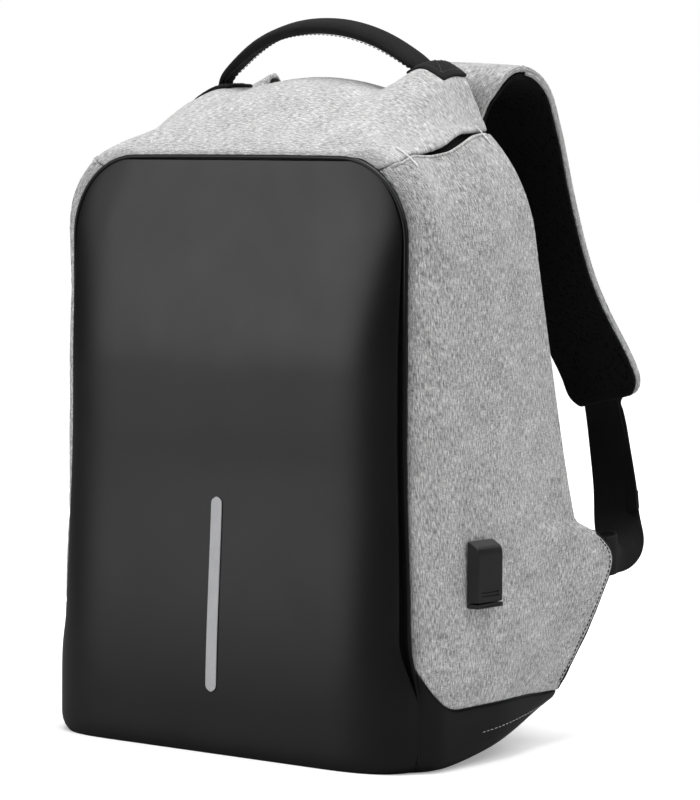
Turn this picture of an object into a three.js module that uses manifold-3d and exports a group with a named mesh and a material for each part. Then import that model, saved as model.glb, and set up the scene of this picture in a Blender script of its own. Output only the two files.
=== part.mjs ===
// A 45 cm anti-theft commuter backpack: a hard-fronted shell that opens from the wearer's side.
// Millimetres. +X is the wearer's right, -Y the black front, +Y the wearer's back, +Z up.
// The origin lies on the floor, under the middle of the base.
import * as THREE from "three";
import { mergeVertices } from "three/addons/utils/BufferGeometryUtils.js";
import Module from "manifold-3d";

const wasm = await Module();
wasm.setup();

// ---------- driving dimensions ----------
const SEAM_Y = -62; // plane of the seam between the front shell and the grey body
const SEAM_HALF = 136; // half width of that seam
const SEAM_TOP = 376; // its top edge
const SEAM_R = 52; // its corner radius
const SIDE_ROLL = 15; // how far the padded sides roll out past the seam
const TOP_ROLL = 7; // the same for the top
const BODY_TAPER = 9; // the body narrows by this much towards the back
const BODY_R = 88; // corner radius of the body behind the seam
const BODY_RISE = 34; // the top climbs by this much from front to back
const CROWN = 9; // extra height along the middle of the top
const YOKE = 12; // extra height under the handle's feet and the strap roots
const FLARE = 5; // the body widens by this much near the floor
const WALL = 3.5; // fabric, foam and lining of a wall
const GAP = 0.4; // between pieces that are sewn or laid together
const BACK_FOOT_Y = 105; // the back plane passes through this point ...
const BACK_FOOT_Z = 140;
const BACK_LEAN = 0.236; // ... and leans forward by this much per unit of height
const BOOT_Z = 38; // seam between the grey side and the black boot
const BOOT_CORNER_UP = 48; // that seam sweeps up by this much at the front ...
const BOOT_CORNER_BACK = 36; // ... over this much depth
const BASE_R = 12; // roll of the boot under the base
const BASE_FLAT_Y = 46; // the middle of the base is flat on the floor as far back as this
const BASE_REAR_Y = 84;
const BASE_REAR_Z = 27;
const STRAP_WIDTH = 66;
const WEBBING = 32;
const WEBBING_THICK = 1.6;
const HANDLE_SPAN = 88; // half the distance between the handle's feet
const HANDLE_LEAN = 0.28; // the handle leans forward by this angle
const USB_Y = -13;
const USB_Z = 120;

// ---------- materials ----------
const paint = (color, roughness, metalness = 0) =>
  new THREE.MeshStandardMaterial({ color, roughness, metalness });
const greyFabric = paint(0xa9a9aa, 0.95);
const blackShell = paint(0x2a2a2d, 0.6);
const blackFabric = paint(0x101012, 0.95);
const meshFabric = paint(0x0b0b0c, 0.98);
const webbingBlack = paint(0x131314, 0.85);
const reflector = paint(0xa3a3a6, 0.35);
const lining = paint(0x3a3b40, 0.95);
const foamBoard = paint(0x55565a, 0.9);
const blackPlastic = paint(0x1b1b1d, 0.4);
const steel = paint(0xb8babd, 0.3, 1);
const zipMetal = paint(0x2c2c2e, 0.4, 0.8);

// ---------- helpers ----------
const group = new THREE.Group();
const clamp01 = (v) => Math.min(1, Math.max(0, v));
const mix = (a, b, k) => a + (b - a) * k;
const smooth = (from, to, v) => {
  const k = clamp01((v - from) / (to - from));
  return k * k * (3 - 2 * k);
};

function add(name, geometry, material, parent = group) {
  const mesh = new THREE.Mesh(geometry, material);
  mesh.name = name;
  parent.add(mesh);
  return mesh;
}

// A closed sheet: a subdivided box whose u and v run over the sheet and w through its thickness.
function sheet(nu, nv, place) {
  const geometry = new THREE.BoxGeometry(1, 1, 1, nu, nv, 1);
  const position = geometry.getAttribute("position");
  for (let i = 0; i < position.count; i++) {
    const p = place(position.getX(i) + 0.5, position.getY(i) + 0.5, position.getZ(i) + 0.5);
    position.setXYZ(i, p[0], p[1], p[2]);
  }
  return outward(geometry);
}

function solidOf(geometry) {
  const bare = geometry.clone();
  bare.deleteAttribute("normal");
  bare.deleteAttribute("uv");
  const merged = mergeVertices(bare, 1e-3);
  return new wasm.Manifold(
    new wasm.Mesh({
      numProp: 3,
      vertProperties: merged.getAttribute("position").array,
      triVerts: new Uint32Array(merged.index.array),
    })
  );
}

function geometryOf(solid) {
  const mesh = solid.getMesh();
  const geometry = new THREE.BufferGeometry();
  geometry.setAttribute("position", new THREE.BufferAttribute(mesh.vertProperties, 3));
  geometry.setIndex(new THREE.BufferAttribute(mesh.triVerts, 1));
  return geometry;
}

// Turns a closed geometry's faces outwards if they point in.
function outward(geometry) {
  const p = geometry.getAttribute("position");
  const index = geometry.index;
  let volume = 0;
  const [a, b, c] = [new THREE.Vector3(), new THREE.Vector3(), new THREE.Vector3()];
  for (let i = 0; i < index.count; i += 3) {
    a.fromBufferAttribute(p, index.getX(i));
    b.fromBufferAttribute(p, index.getX(i + 1));
    c.fromBufferAttribute(p, index.getX(i + 2));
    volume += a.dot(b.cross(c));
  }
  if (volume < 0) {
    for (let i = 0; i < index.count; i += 3) {
      const second = index.getX(i + 1);
      index.setX(i + 1, index.getX(i + 2));
      index.setX(i + 2, second);
    }
  }
  return geometry;
}

const cut = (from, ...tools) =>
  geometryOf(tools.reduce((s, t) => s.subtract(solidOf(t)), solidOf(from)));
const join = (...parts) => geometryOf(parts.map(solidOf).reduce((s, t) => s.add(t)));

const block = (x, y, z, cx, cy, cz) => new THREE.BoxGeometry(x, y, z).translate(cx, cy, cz);

function roundedRect(halfWidth, low, high, radius) {
  const shape = new THREE.Shape();
  shape.moveTo(-halfWidth + radius, low);
  shape.absarc(halfWidth - radius, low + radius, radius, -Math.PI / 2, 0);
  shape.absarc(halfWidth - radius, high - radius, radius, 0, Math.PI / 2);
  shape.absarc(-halfWidth + radius, high - radius, radius, Math.PI / 2, Math.PI);
  shape.absarc(-halfWidth + radius, low + radius, radius, Math.PI, 1.5 * Math.PI);
  return shape;
}

const extrude = (shape, depth, curveSegments = 3) =>
  new THREE.ExtrudeGeometry(shape, { depth, bevelEnabled: false, curveSegments });

// ---------- the shape of the body ----------
// t runs from 0 at the front seam to 1 at the back plane.
const roll = (t) => Math.sqrt(1 - (1 - clamp01(t / 0.09)) ** 2);
const backY = (z) =>
  z > BACK_FOOT_Z
    ? BACK_FOOT_Y - (z - BACK_FOOT_Z) * BACK_LEAN
    : BACK_FOOT_Y - 21 * ((BACK_FOOT_Z - z) / 105) ** 2;
const depthY = (t, z) => SEAM_Y + t * (backY(z) - SEAM_Y);
const flare = (z) => FLARE * smooth(202, 62, z);
const bodyHalf = (t, z) =>
  SEAM_HALF + SIDE_ROLL * roll(t) - BODY_TAPER * smooth(0.45, 1, t) + flare(z);
const bodyTop = (t) =>
  SEAM_TOP + TOP_ROLL * roll(t) + BODY_RISE * Math.sin((Math.PI / 2) * clamp01((t - 0.05) / 0.8));
const bodyRadius = (t) => mix(SEAM_R, BODY_R, smooth(0, 0.35, t));
const crownAt = (t) => CROWN * smooth(0.1, 0.6, t) * (1 - 0.4 * smooth(0.88, 1, t));
const yokeAt = (t, x) =>
  YOKE * smooth(0.35, 0.95, t) * smooth(55, 95, Math.abs(x)) * (1 - smooth(97, 112, Math.abs(x)));

// Height of the top's outer surface.
function topHeight(t, x) {
  const radius = bodyRadius(t);
  const flat = bodyHalf(t, 340) - radius;
  const past = Math.max(Math.abs(x) - flat, 0);
  const arch = bodyTop(t) - radius + Math.sqrt(radius ** 2 - past ** 2);
  return arch + crownAt(t) * (1 - clamp01(Math.abs(x) / flat) ** 2) + yokeAt(t, x);
}

// A point of the side wall: along is the distance up from the height low, and inset goes inwards.
function sidePoint(t, low, along, inset) {
  const radius = bodyRadius(t);
  const corner = bodyTop(t) - radius;
  const straight = corner - low;
  if (along <= straight) {
    const z = low + along;
    return [bodyHalf(t, z) - inset, depthY(t, z), z];
  }
  const angle = (along - straight) / radius;
  const x = bodyHalf(t, corner) - radius + (radius - inset) * Math.cos(angle);
  const z = corner + (radius - inset) * Math.sin(angle);
  return [x, depthY(t, z), z];
}

// The length of the side wall from the height low to the slit half way round the corner.
const sideLength = (t, low) => bodyTop(t) - bodyRadius(t) - low + bodyRadius(t) * (Math.PI / 4);

function bootSeam(t) {
  const y = depthY(t, BOOT_Z);
  const into = clamp01((SEAM_Y + BOOT_CORNER_BACK - y) / BOOT_CORNER_BACK);
  return BOOT_Z + BOOT_CORNER_UP * (1 - Math.sqrt(1 - into * into)) - 2 * smooth(30, 84, y);
}

// The sides of the base curve up towards the back, and its middle stays flat for longer.
const edgeLift = (y) => BASE_REAR_Z * Math.pow(clamp01((y + 40) / (BASE_REAR_Y + 40)), 2.1);
const middleLift = (y) =>
  BASE_REAR_Z * Math.pow(clamp01((y - BASE_FLAT_Y) / (BASE_REAR_Y - BASE_FLAT_Y)), 1.3);
const baseZ = (x, y) => mix(middleLift(y), edgeLift(y), smooth(84, 130, Math.abs(x)));

// Mirrors a geometry to the left side.
const mirrored = (geometry) => {
  const copy = geometry.clone().scale(-1, 1, 1);
  if (copy.index) return outward(copy);
  return outward(mergeVertices(copy, 1e-4));
};

function bothSides(name, geometry, material, parent = group) {
  add(name + "_right", geometry, material, parent);
  add(name + "_left", mirrored(geometry), material, parent);
}

// ---------- front shell ----------
const frontHalf = (z) => {
  const above = clamp01((z - (SEAM_TOP - SEAM_R)) / SEAM_R) * SEAM_R;
  return SEAM_HALF - SEAM_R + Math.sqrt(SEAM_R ** 2 - above ** 2) + flare(z);
};
const frontCentreY = (z) => -66 - 14 * smooth(376, 242, z) - 6 * smooth(192, 32, z);
const DOME_SIDE = 55;
const DOME_TOP = 28;
const DOME_BASE = 16;
const SHELL_LOW = WALL + 0.8;

// How far the front shell stands out at a point, from 0 at its edge to 1 over its flat middle.
function dome(x, z) {
  const rise = (d, reach) => Math.sqrt(1 - (1 - clamp01(d / reach)) ** 3);
  const corner = SEAM_TOP - SEAM_R;
  const past = Math.max(Math.abs(x) - (SEAM_HALF - SEAM_R), 0);
  const cornerGap = SEAM_R - Math.hypot(past, Math.max(z - corner, 0));
  const sideGap = z > corner ? cornerGap : frontHalf(z) - Math.abs(x);
  const across = rise(sideGap, z > corner && past === 0 ? DOME_TOP : DOME_SIDE);
  return across * mix(0.72, 1, rise(z, DOME_BASE));
}

const frontShell = sheet(14, 16, (u, v, w) => {
  const z = mix(SHELL_LOW, SEAM_TOP - 0.5, Math.sin((Math.PI / 2) * v) ** 1.2);
  const x = (2 * u - 1) * (frontHalf(z) - 0.3);
  const out = (frontCentreY(z) - SEAM_Y + 1.8) * dome(x, z);
  return [x, mix(SEAM_Y - 0.3, SEAM_Y - 1.8, w) + out * mix(0.84, 1, w), z];
});
add("front_shell", frontShell, blackShell);

// Anti-cut board behind the shell.
const frontBoard = extrude(roundedRect(118, 16, 358, 40), 2.5, 4)
  .rotateX(Math.PI / 2)
  .translate(0, SEAM_Y + 6, 0);
add("front_board", frontBoard, foamBoard);

// Reflective strip on the centre line of the shell.
const STRIP_LOW = 40;
const STRIP_HIGH = 162;
const STRIP_WIDTH = 8;
const stripOut = (z) => SEAM_Y - 1.8 + (frontCentreY(z) - SEAM_Y + 1.8) * dome(0, z);
const strip = sheet(2, 12, (u, v, w) => {
  const z = mix(STRIP_LOW, STRIP_HIGH, (1 - Math.cos(Math.PI * v)) / 2);
  const end = Math.min(z - STRIP_LOW, STRIP_HIGH - z);
  const half = (STRIP_WIDTH / 2) * mix(0.45, 1, smooth(0, STRIP_WIDTH / 2, end));
  return [(2 * u - 1) * half, stripOut(z) - GAP - 0.8 * w, z];
});
add("reflective_strip", strip, reflector);

// Cord piping in the valley of the seam, over the top and down both sides.
function seamPath(inset) {
  const half = SEAM_HALF - inset;
  const top = SEAM_TOP - inset;
  const points = [];
  for (let i = 0; i <= 6; i++) {
    const z = mix(BOOT_Z + BOOT_CORNER_UP, SEAM_TOP - SEAM_R, i / 6);
    points.push([half + flare(z), z]);
  }
  for (let i = 1; i <= 6; i++) {
    const angle = ((Math.PI / 2) * i) / 6;
    points.push([
      SEAM_HALF - SEAM_R + (SEAM_R - inset) * Math.cos(angle),
      SEAM_TOP - SEAM_R + (SEAM_R - inset) * Math.sin(angle),
    ]);
  }
  points.push([0, top]);
  const right = points.map(([x, z]) => new THREE.Vector3(x, SEAM_Y - 2.6, z));
  const left = points.slice(0, -1).reverse().map(([x, z]) => new THREE.Vector3(-x, SEAM_Y - 2.6, z));
  return new THREE.CatmullRomCurve3([...right, ...left], false, "centripetal");
}
const pipingSection = new THREE.Shape().absarc(0, 0, 1.3, 0, 2 * Math.PI);
const piping = new THREE.ExtrudeGeometry(pipingSection, {
  steps: 60,
  curveSegments: 3,
  bevelEnabled: false,
  extrudePath: seamPath(-2.2),
});
add("front_piping", piping, blackShell);

// ---------- grey body ----------
const alongDepth = (u) => mix(0.004, 1, u ** 1.5);
const sideWall = sheet(10, 15, (u, v, w) => {
  const t = alongDepth(u);
  const low = bootSeam(t) + GAP;
  return sidePoint(t, low, v * (sideLength(t, low) - GAP), WALL * (1 - w));
});
const usbHole = block(30, 19, 36, 150, USB_Y, USB_Z);
add("side_panel_right", cut(sideWall, usbHole), greyFabric);
add("side_panel_left", mirrored(sideWall), greyFabric);

const topPanel = sheet(20, 9, (u, v, w) => {
  const t = alongDepth(v);
  const radius = bodyRadius(t);
  const flat = bodyHalf(t, 340) - radius;
  const reach = (2 * u - 1) * (flat + radius * (Math.PI / 4) - GAP);
  const angle = Math.max(Math.abs(reach) - flat, 0) / radius;
  const x = angle > 0 ? Math.sign(reach) * (flat + radius * Math.sin(angle)) : reach;
  const inset = (WALL + 0.5) * (1 - w);
  const z = topHeight(t, x) - inset * Math.cos(angle);
  return [x - Math.sign(reach) * inset * Math.sin(angle), depthY(t, z), z];
});
add("top_panel", topPanel, greyFabric);

// Black boot below the side seam, rolled under at the floor.
const boot = sheet(10, 8, (u, v, w) => {
  const t = alongDepth(u);
  const high = bootSeam(t) - 1.5 * GAP;
  const y = depthY(t, high);
  const floor = edgeLift(y);
  const radius = BASE_R - WALL * (1 - w);
  const arc = (BASE_R * Math.PI) / 2;
  const along = v * (arc + high - floor - BASE_R);
  if (along < arc) {
    const angle = -Math.PI / 2 + along / BASE_R;
    const x = bodyHalf(t, floor) - BASE_R + radius * Math.cos(angle);
    return [x, y, floor + BASE_R + radius * Math.sin(angle)];
  }
  const z = floor + BASE_R + along - arc;
  return [bodyHalf(t, z) - WALL * (1 - w), y, z];
});
bothSides("boot_side", boot, blackShell);

const baseHalf = (t, y) => bodyHalf(t, edgeLift(y)) - BASE_R - 0.6;
const basePanel = sheet(12, 10, (u, v, w) => {
  const t = alongDepth(v);
  const y = depthY(t, BOOT_Z);
  const x = (2 * u - 1) * baseHalf(t, y);
  const belly = v === 0 ? (frontCentreY(0) - SEAM_Y) * 0.72 * dome(1.12 * x, 40) : 0;
  return [x, y + belly, baseZ(x, y) + WALL * w];
});
add("base_panel", basePanel, blackShell);
const baseBoard = extrude(roundedRect(78, -54, BASE_FLAT_Y - 12, 10), 3).translate(0, 0, WALL + 0.5);
add("base_board", baseBoard, foamBoard);

// Black lower back, from the base up to the hinge of the back panel.
const lowerBack = sheet(6, 7, (u, v, w) => {
  const z = mix(BASE_REAR_Z + 6, 112, v);
  const half = bodyHalf(1, z) - WALL - 1.8;
  return [(2 * u - 1) * half, backY(z) - 0.5 - 3 * (1 - w), z];
});
add("lower_back_panel", lowerBack, blackFabric);

// Organiser sheet and its mesh pocket, sewn behind the front board.
const organiser = extrude(roundedRect(104, 52, 242, 12), 1.2)
  .rotateX(Math.PI / 2)
  .translate(0, SEAM_Y + 12, 0);
add("organiser_sheet", organiser, lining);
const meshPocket = extrude(roundedRect(92, 56, 152, 10), 0.8)
  .rotateX(Math.PI / 2)
  .translate(0, SEAM_Y + 14, 0);
add("mesh_pocket", meshPocket, meshFabric);

// Pouch for the power bank on the right wall, behind the charging port.
const POUCH = { x: 117, y: 8, low: 54, high: 160, wide: 22, deep: 74, wall: 1.2 };
const pouchOuter = block(
  POUCH.wide, POUCH.deep, POUCH.high - POUCH.low, POUCH.x, POUCH.y, (POUCH.low + POUCH.high) / 2
);
const pouchInner = block(
  POUCH.wide - 2 * POUCH.wall, POUCH.deep - 2 * POUCH.wall, POUCH.high - POUCH.low,
  POUCH.x, POUCH.y, (POUCH.low + POUCH.high) / 2 + POUCH.wall
);
add("power_bank_pouch", cut(pouchOuter, pouchInner), lining);

// Triangular wings, sewn to the rear edge of the sides, that anchor the strap webbing.
const WING_EDGE = [[58, 100], [69, 113], [89, 120], [96, 126], [105, 134], [114, 136], [122, 134], [131, 123], [142, 106]];
function wingReach(z) {
  const i = Math.max(1, WING_EDGE.findIndex(([height]) => height >= z));
  const [[z0, y0], [z1, y1]] = [WING_EDGE[i - 1], WING_EDGE[i]];
  return mix(y0, y1, clamp01((z - z0) / (z1 - z0)));
}
const wing = sheet(4, 9, (u, v, w) => {
  const z = mix(58, 142, v);
  const sewn = backY(z) - 9;
  const y = mix(sewn, wingReach(z), u);
  const tip = Math.max(150.4 - 5 * smooth(100, 58, z), bodyHalf(1, z) + 0.9);
  return [mix(bodyHalf(1, z) + 0.9, tip, smooth(0.25, 0.8, u)) + 2 * w, y, z];
});
bothSides("wing", wing, greyFabric);

// ---------- zip and back panel, in the plane of the back ----------
const LEAN = Math.atan(BACK_LEAN);
// Local axes of this group: x across, y up the back, z out of the back.
const backPlane = new THREE.Group();
backPlane.position.set(0, BACK_FOOT_Y, BACK_FOOT_Z);
const upBack = new THREE.Vector3(0, -Math.sin(LEAN), Math.cos(LEAN));
const outBack = new THREE.Vector3(0, Math.cos(LEAN), Math.sin(LEAN));
backPlane.quaternion.setFromRotationMatrix(
  new THREE.Matrix4().makeBasis(new THREE.Vector3(-1, 0, 0), upBack, outBack)
);
group.add(backPlane);

const BACK_HALF = SEAM_HALF + SIDE_ROLL - BODY_TAPER; // half width of the body at the back plane
const BACK_TOP = (SEAM_TOP + TOP_ROLL + BODY_RISE - BACK_FOOT_Z) / Math.cos(LEAN);
const DOOR_LOW = -20;

// A band that runs up one side of the back, over the top and down the other.
function band(outer, width, low) {
  const arch = (path, inset, back) => {
    const half = BACK_HALF - inset;
    const radius = BODY_R - inset;
    const top = BACK_TOP - inset;
    if (back) {
      path.lineTo(-half, low);
      path.lineTo(-half, top - radius);
      path.absarc(-half + radius, top - radius, radius, Math.PI, Math.PI / 2, true);
      path.absarc(half - radius, top - radius, radius, Math.PI / 2, 0, true);
      path.lineTo(half, low);
    } else {
      path.moveTo(half, low);
      path.lineTo(half, top - radius);
      path.absarc(half - radius, top - radius, radius, 0, Math.PI / 2);
      path.absarc(-half + radius, top - radius, radius, Math.PI / 2, Math.PI);
      path.lineTo(-half, low);
    }
  };
  const shape = new THREE.Shape();
  arch(shape, outer, false);
  arch(shape, outer + width, true);
  return shape;
}
const onBack = (geometry, out) => geometry.translate(0, 0, out);
const TAPE_AT = WALL + 2.4;
const CHAIN_AT = TAPE_AT + 6.4;
const CHAIN_WIDE = 2.6;
const DOOR_CHAIN_AT = CHAIN_AT + CHAIN_WIDE + 0.6;
const DOOR_TAPE_AT = DOOR_CHAIN_AT + CHAIN_WIDE + 0.4;
const DOOR_AT = DOOR_TAPE_AT + 4.4;
add("zip_tape_body", onBack(extrude(band(TAPE_AT, 6, DOOR_LOW + 22), 1, 8), -0.5), blackFabric, backPlane);
add("zip_chain_body", onBack(extrude(band(CHAIN_AT, CHAIN_WIDE, DOOR_LOW + 22), 2, 8), -1), zipMetal, backPlane);
add("zip_chain_door", onBack(extrude(band(DOOR_CHAIN_AT, CHAIN_WIDE, DOOR_LOW + 22), 2, 8), -1), zipMetal, backPlane);
add("zip_tape_door", onBack(extrude(band(DOOR_TAPE_AT, 4, DOOR_LOW + 22), 1, 8), -0.5), blackFabric, backPlane);

function doorOutline(inset, low) {
  const half = BACK_HALF - inset;
  const radius = BODY_R - inset;
  const top = BACK_TOP - inset;
  const shape = new THREE.Shape();
  shape.moveTo(-half, low);
  shape.lineTo(half, low);
  shape.lineTo(half, top - radius);
  shape.absarc(half - radius, top - radius, radius, 0, Math.PI / 2);
  shape.absarc(-half + radius, top - radius, radius, Math.PI / 2, Math.PI);
  return shape;
}
add("back_panel", onBack(extrude(doorOutline(DOOR_AT, DOOR_LOW), 4, 6), -2.5), blackFabric, backPlane);
add("back_sheet", onBack(extrude(doorOutline(DOOR_AT + 6, DOOR_LOW + 8), 1.6, 6), -4.5), foamBoard, backPlane);

// Foam pads of the wearer's side.
const PAD_ROUND = 3.5;
const PAD_BACK = 2.1; // out of the back plane
function pad(name, centreX, low, high, halfWidth, thick, radius) {
  const shape = roundedRect(halfWidth - PAD_ROUND, low + PAD_ROUND, high - PAD_ROUND, radius - PAD_ROUND);
  const geometry = new THREE.ExtrudeGeometry(shape, {
    depth: thick - 2 * PAD_ROUND,
    bevelThickness: PAD_ROUND,
    bevelSize: PAD_ROUND,
    bevelSegments: 1,
    curveSegments: 3,
  });
  add(name, geometry.translate(centreX, 0, PAD_BACK + PAD_ROUND), meshFabric, backPlane);
}
for (const [side, x] of [["left", 56], ["right", -56]]) {
  pad("shoulder_pad_" + side, x, 146, 234, 50, 14, 18);
  pad("middle_pad_" + side, x, 64, 140, 50, 8, 18);
}
pad("lumbar_pad", 0, -14, 58, 106, 16, 20);

// Band that slips over a suitcase handle, sewn down at both ends.
const LUGGAGE = { half: 112, tall: 36, up: 110, out: 20, thick: 1.2 };
const luggageEnds = [-1, 1].map((sign) =>
  block(4, LUGGAGE.tall, LUGGAGE.out - 1.5, sign * (LUGGAGE.half - 2), LUGGAGE.up, (LUGGAGE.out + 3.9) / 2)
);
const luggageFace = block(2 * LUGGAGE.half - 4, LUGGAGE.tall, LUGGAGE.thick, 0, LUGGAGE.up, LUGGAGE.out);
const luggageBand = join(luggageFace, ...luggageEnds);
add("luggage_band", luggageBand, webbingBlack, backPlane);

// Padded laptop sleeve on the inner face of the back panel: a front sheet on a floor and two sides.
const SLEEVE = { half: 108, low: 0, high: 228, gap: 24, sheet: 4, back: -5 };
const sleeveFront = block(
  2 * SLEEVE.half, SLEEVE.high - SLEEVE.low, SLEEVE.sheet,
  0, (SLEEVE.low + SLEEVE.high) / 2, SLEEVE.back - SLEEVE.gap - SLEEVE.sheet / 2
);
const sleeveFloor = block(2 * SLEEVE.half, 4, SLEEVE.gap + 0.6, 0, SLEEVE.low + 2, SLEEVE.back - SLEEVE.gap / 2 - 0.5);
add("laptop_sleeve", join(sleeveFront, sleeveFloor), lining, backPlane);

// Zip sliders with their pullers, on the right-hand run of the zip.
const ZIP_X = -(BACK_HALF - CHAIN_AT - CHAIN_WIDE - 0.3);
const SLIDER = { wide: 8.4, long: 11, plate: 2.2, pin: 5.6 };
function slider(name, height) {
  const plate = block(SLIDER.wide, SLIDER.long, SLIDER.plate, 0, 0, 1.6 + SLIDER.plate / 2);
  const lugs = [-2.9, 2.9].map((x) => block(1.2, 3.6, 4.2, x, 1, 1.4 + SLIDER.pin - 2.4));
  const pin = new THREE.CylinderGeometry(0.8, 0.8, 6.6, 12).rotateZ(Math.PI / 2).translate(0, 1, SLIDER.pin);
  const made = join(plate, ...lugs, pin).translate(ZIP_X, height, 0);
  add("slider_" + name, made, zipMetal, backPlane);
  const eye = new THREE.CylinderGeometry(1.6, 1.6, 4, 12).rotateZ(Math.PI / 2);
  const bore = new THREE.CylinderGeometry(0.9, 0.9, 6, 12).rotateZ(Math.PI / 2);
  const tongue = block(3.6, 6, 1.5, 0, -4, 0.2);
  const tab = extrude(roundedRect(4.2, -26, -6, 1.6), 1.7).translate(0, 0, -0.6);
  const puller = geometryOf(
    [tongue, tab].map(solidOf).reduce((s, p) => s.add(p), solidOf(eye)).subtract(solidOf(bore))
  );
  puller.translate(ZIP_X, height + 1, SLIDER.pin);
  add("puller_" + name, puller, blackPlastic, backPlane);
}
const SLIDER_UPPER = 128;
const SLIDER_LOWER = 94;
slider("upper", SLIDER_UPPER);
slider("lower", SLIDER_LOWER);

// ---------- shoulder straps (built on the right, the left one is mirrored) ----------
const curveThrough = (points) =>
  new THREE.CatmullRomCurve3(points.map((p) => new THREE.Vector3(...p)), false, "centripetal");

// A point of a band that follows a curve: across is along its width and out is along its outer normal.
function onCurve(curve, k, across, out, widthAxis) {
  const at = curve.getPointAt(clamp01(k));
  const tangent = curve.getTangentAt(clamp01(k));
  const side = widthAxis.clone().addScaledVector(tangent, -widthAxis.dot(tangent)).normalize();
  const normal = new THREE.Vector3().crossVectors(side, tangent).normalize();
  at.addScaledVector(side, across).addScaledVector(normal, out);
  return [at.x, at.y, at.z];
}
const strapHalf = (k) => (STRAP_WIDTH / 2) * mix(1, 0.95, k) * Math.sqrt(1 - 0.45 * smooth(0.93, 1, k));
const ROOT_END = 22; // where the sewn root ends and the swinging strap starts
const ROOT_NOTCH = 13; // the strap's start curves back by this much at its edges

// The strap hangs over the wearer's shoulder line, and its outer edge droops by the angle droop.
function buildStrap(side, points, droop) {
  const place = (name, geometry, material) =>
    add(name + "_" + side, side === "left" ? mirrored(geometry) : geometry, material);
  const curve = curveThrough(points);
  const length = curve.getLength();
  const widthAxis = (k) => {
    const angle = mix(droop[0], droop[1], smooth(0.02, 0.12, k)) * (1 - smooth(0.25, 0.5, k));
    return new THREE.Vector3(Math.cos(angle), 0, -Math.sin(angle));
  };
  const layer = (inner, outer) =>
    sheet(26, 4, (u, v, w) => {
      const across = 2 * v - 1;
      const k = mix((ROOT_END + 1 + ROOT_NOTCH * across ** 2) / length, 1, u);
      const crown = mix(inner, outer, 1 - 0.45 * across ** 4);
      return onCurve(curve, k, across * strapHalf(k), mix(inner, crown, w), widthAxis(k));
    });
  place("strap_pad", layer(0.6, 6), greyFabric);
  place("strap_lining", layer(-0.6, -4), meshFabric);

  // The root is sewn to the top edge of the back panel.
  const root = sheet(3, 4, (u, v, w) => {
    const k = mix(0, ROOT_END, u) / length;
    return onCurve(curve, k, (v - 0.5) * STRAP_WIDTH, mix(-2.5, 2.5, w), widthAxis(k));
  });
  place("strap_root", root, greyFabric);

  // Ladder lock on the outer face near the lower end, tied to the strap by a loop of webbing.
  const end = curve.getPointAt(0.93);
  const inLock = (geometry) => geometry.rotateX(0.32).translate(end.x, end.y + 14.5, end.z - 4);
  const frame = extrude(roundedRect(22, -12, 12, 5), 4, 4).rotateX(Math.PI / 2).translate(0, 2, 0);
  const slots = [5.6, -5].map((z) => block(33, 12, 4.6, 0, 0, z));
  place("ladder_lock", inLock(cut(frame, ...slots)), blackPlastic);
  place("lock_tie", inLock(block(28, 1.4, 20, 0, -4.4, 16)), webbingBlack);

  // Load webbing: down from the lock, turning a quarter as it reaches the wing.
  const webCurve = curveThrough([
    [end.x, end.y + 12.5, end.z - 17], [mix(end.x, 121, 0.5), mix(end.y + 12.5, 183, 0.6), 190], [122, 183, 156],
    [127, 179.5, 130], [137, 168, 113], [145.5, 152.5, 107], [148.4, 141.5, 106],
  ]);
  const webPoint = (k, across, out) => {
    const turn = (Math.PI / 2) * smooth(0.66, 0.97, k);
    const axis = new THREE.Vector3(Math.cos(turn), 0, Math.sin(turn));
    return onCurve(webCurve, k, across, out, axis);
  };
  const load = sheet(22, 1, (u, v, w) => webPoint(u, (v - 0.5) * WEBBING, (w - 0.5) * WEBBING_THICK));
  place("load_webbing", load, webbingBlack);

  // Free end of the webbing, hanging behind the load webbing, with a folded hem.
  const tail = sheet(12, 1, (u, v, w) => {
    const p = webPoint(mix(0, 0.66, u), (v - 0.5) * WEBBING, 0);
    const hem = u > 0.9 ? 1.4 : 0;
    return [p[0] + 3.5 * smooth(0, 0.3, u), p[1] + 1.6 + (WEBBING_THICK + hem) * w + 2.5 * u, p[2]];
  });
  place("webbing_tail", tail, webbingBlack);
}

buildStrap("right", [
  [84, 53.5, 376.5], [84, 51.5, 392], [84, 52.5, 403], [84, 54.5, 414], [84.5, 60, 424], [85, 72, 430.5], [86, 86, 429.5],
  [87, 101, 419], [88, 112.5, 393], [91, 125, 350], [98, 142, 298], [105.5, 157, 262], [112, 166, 236], [115, 171, 216],
], [0, 0.05]);
buildStrap("left", [
  [86, 53.8, 376.5], [88, 52, 392], [92, 54, 401], [98, 56.5, 410], [106, 62, 418], [115, 72, 422.5], [120, 86, 420.5],
  [122, 100, 409], [122, 111, 382], [120, 124, 344], [117, 142, 298], [116, 156, 262], [116, 165, 236], [116, 170, 216],
], [0, 0.22]);

// ---------- carry handle ----------
const FOOT = { inner: 72, outer: 101, front: 13, back: 36, thick: 2.2 };
const footPatch = sheet(5, 3, (u, v, w) => {
  const x = mix(FOOT.inner, FOOT.outer, u);
  const y = mix(FOOT.front, FOOT.back, v);
  const t = (y - SEAM_Y) / (backY(420) - SEAM_Y);
  return [x, y, topHeight(t, x) + 1.4 + FOOT.thick * w];
});
bothSides("handle_foot", footPatch, webbingBlack);

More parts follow.
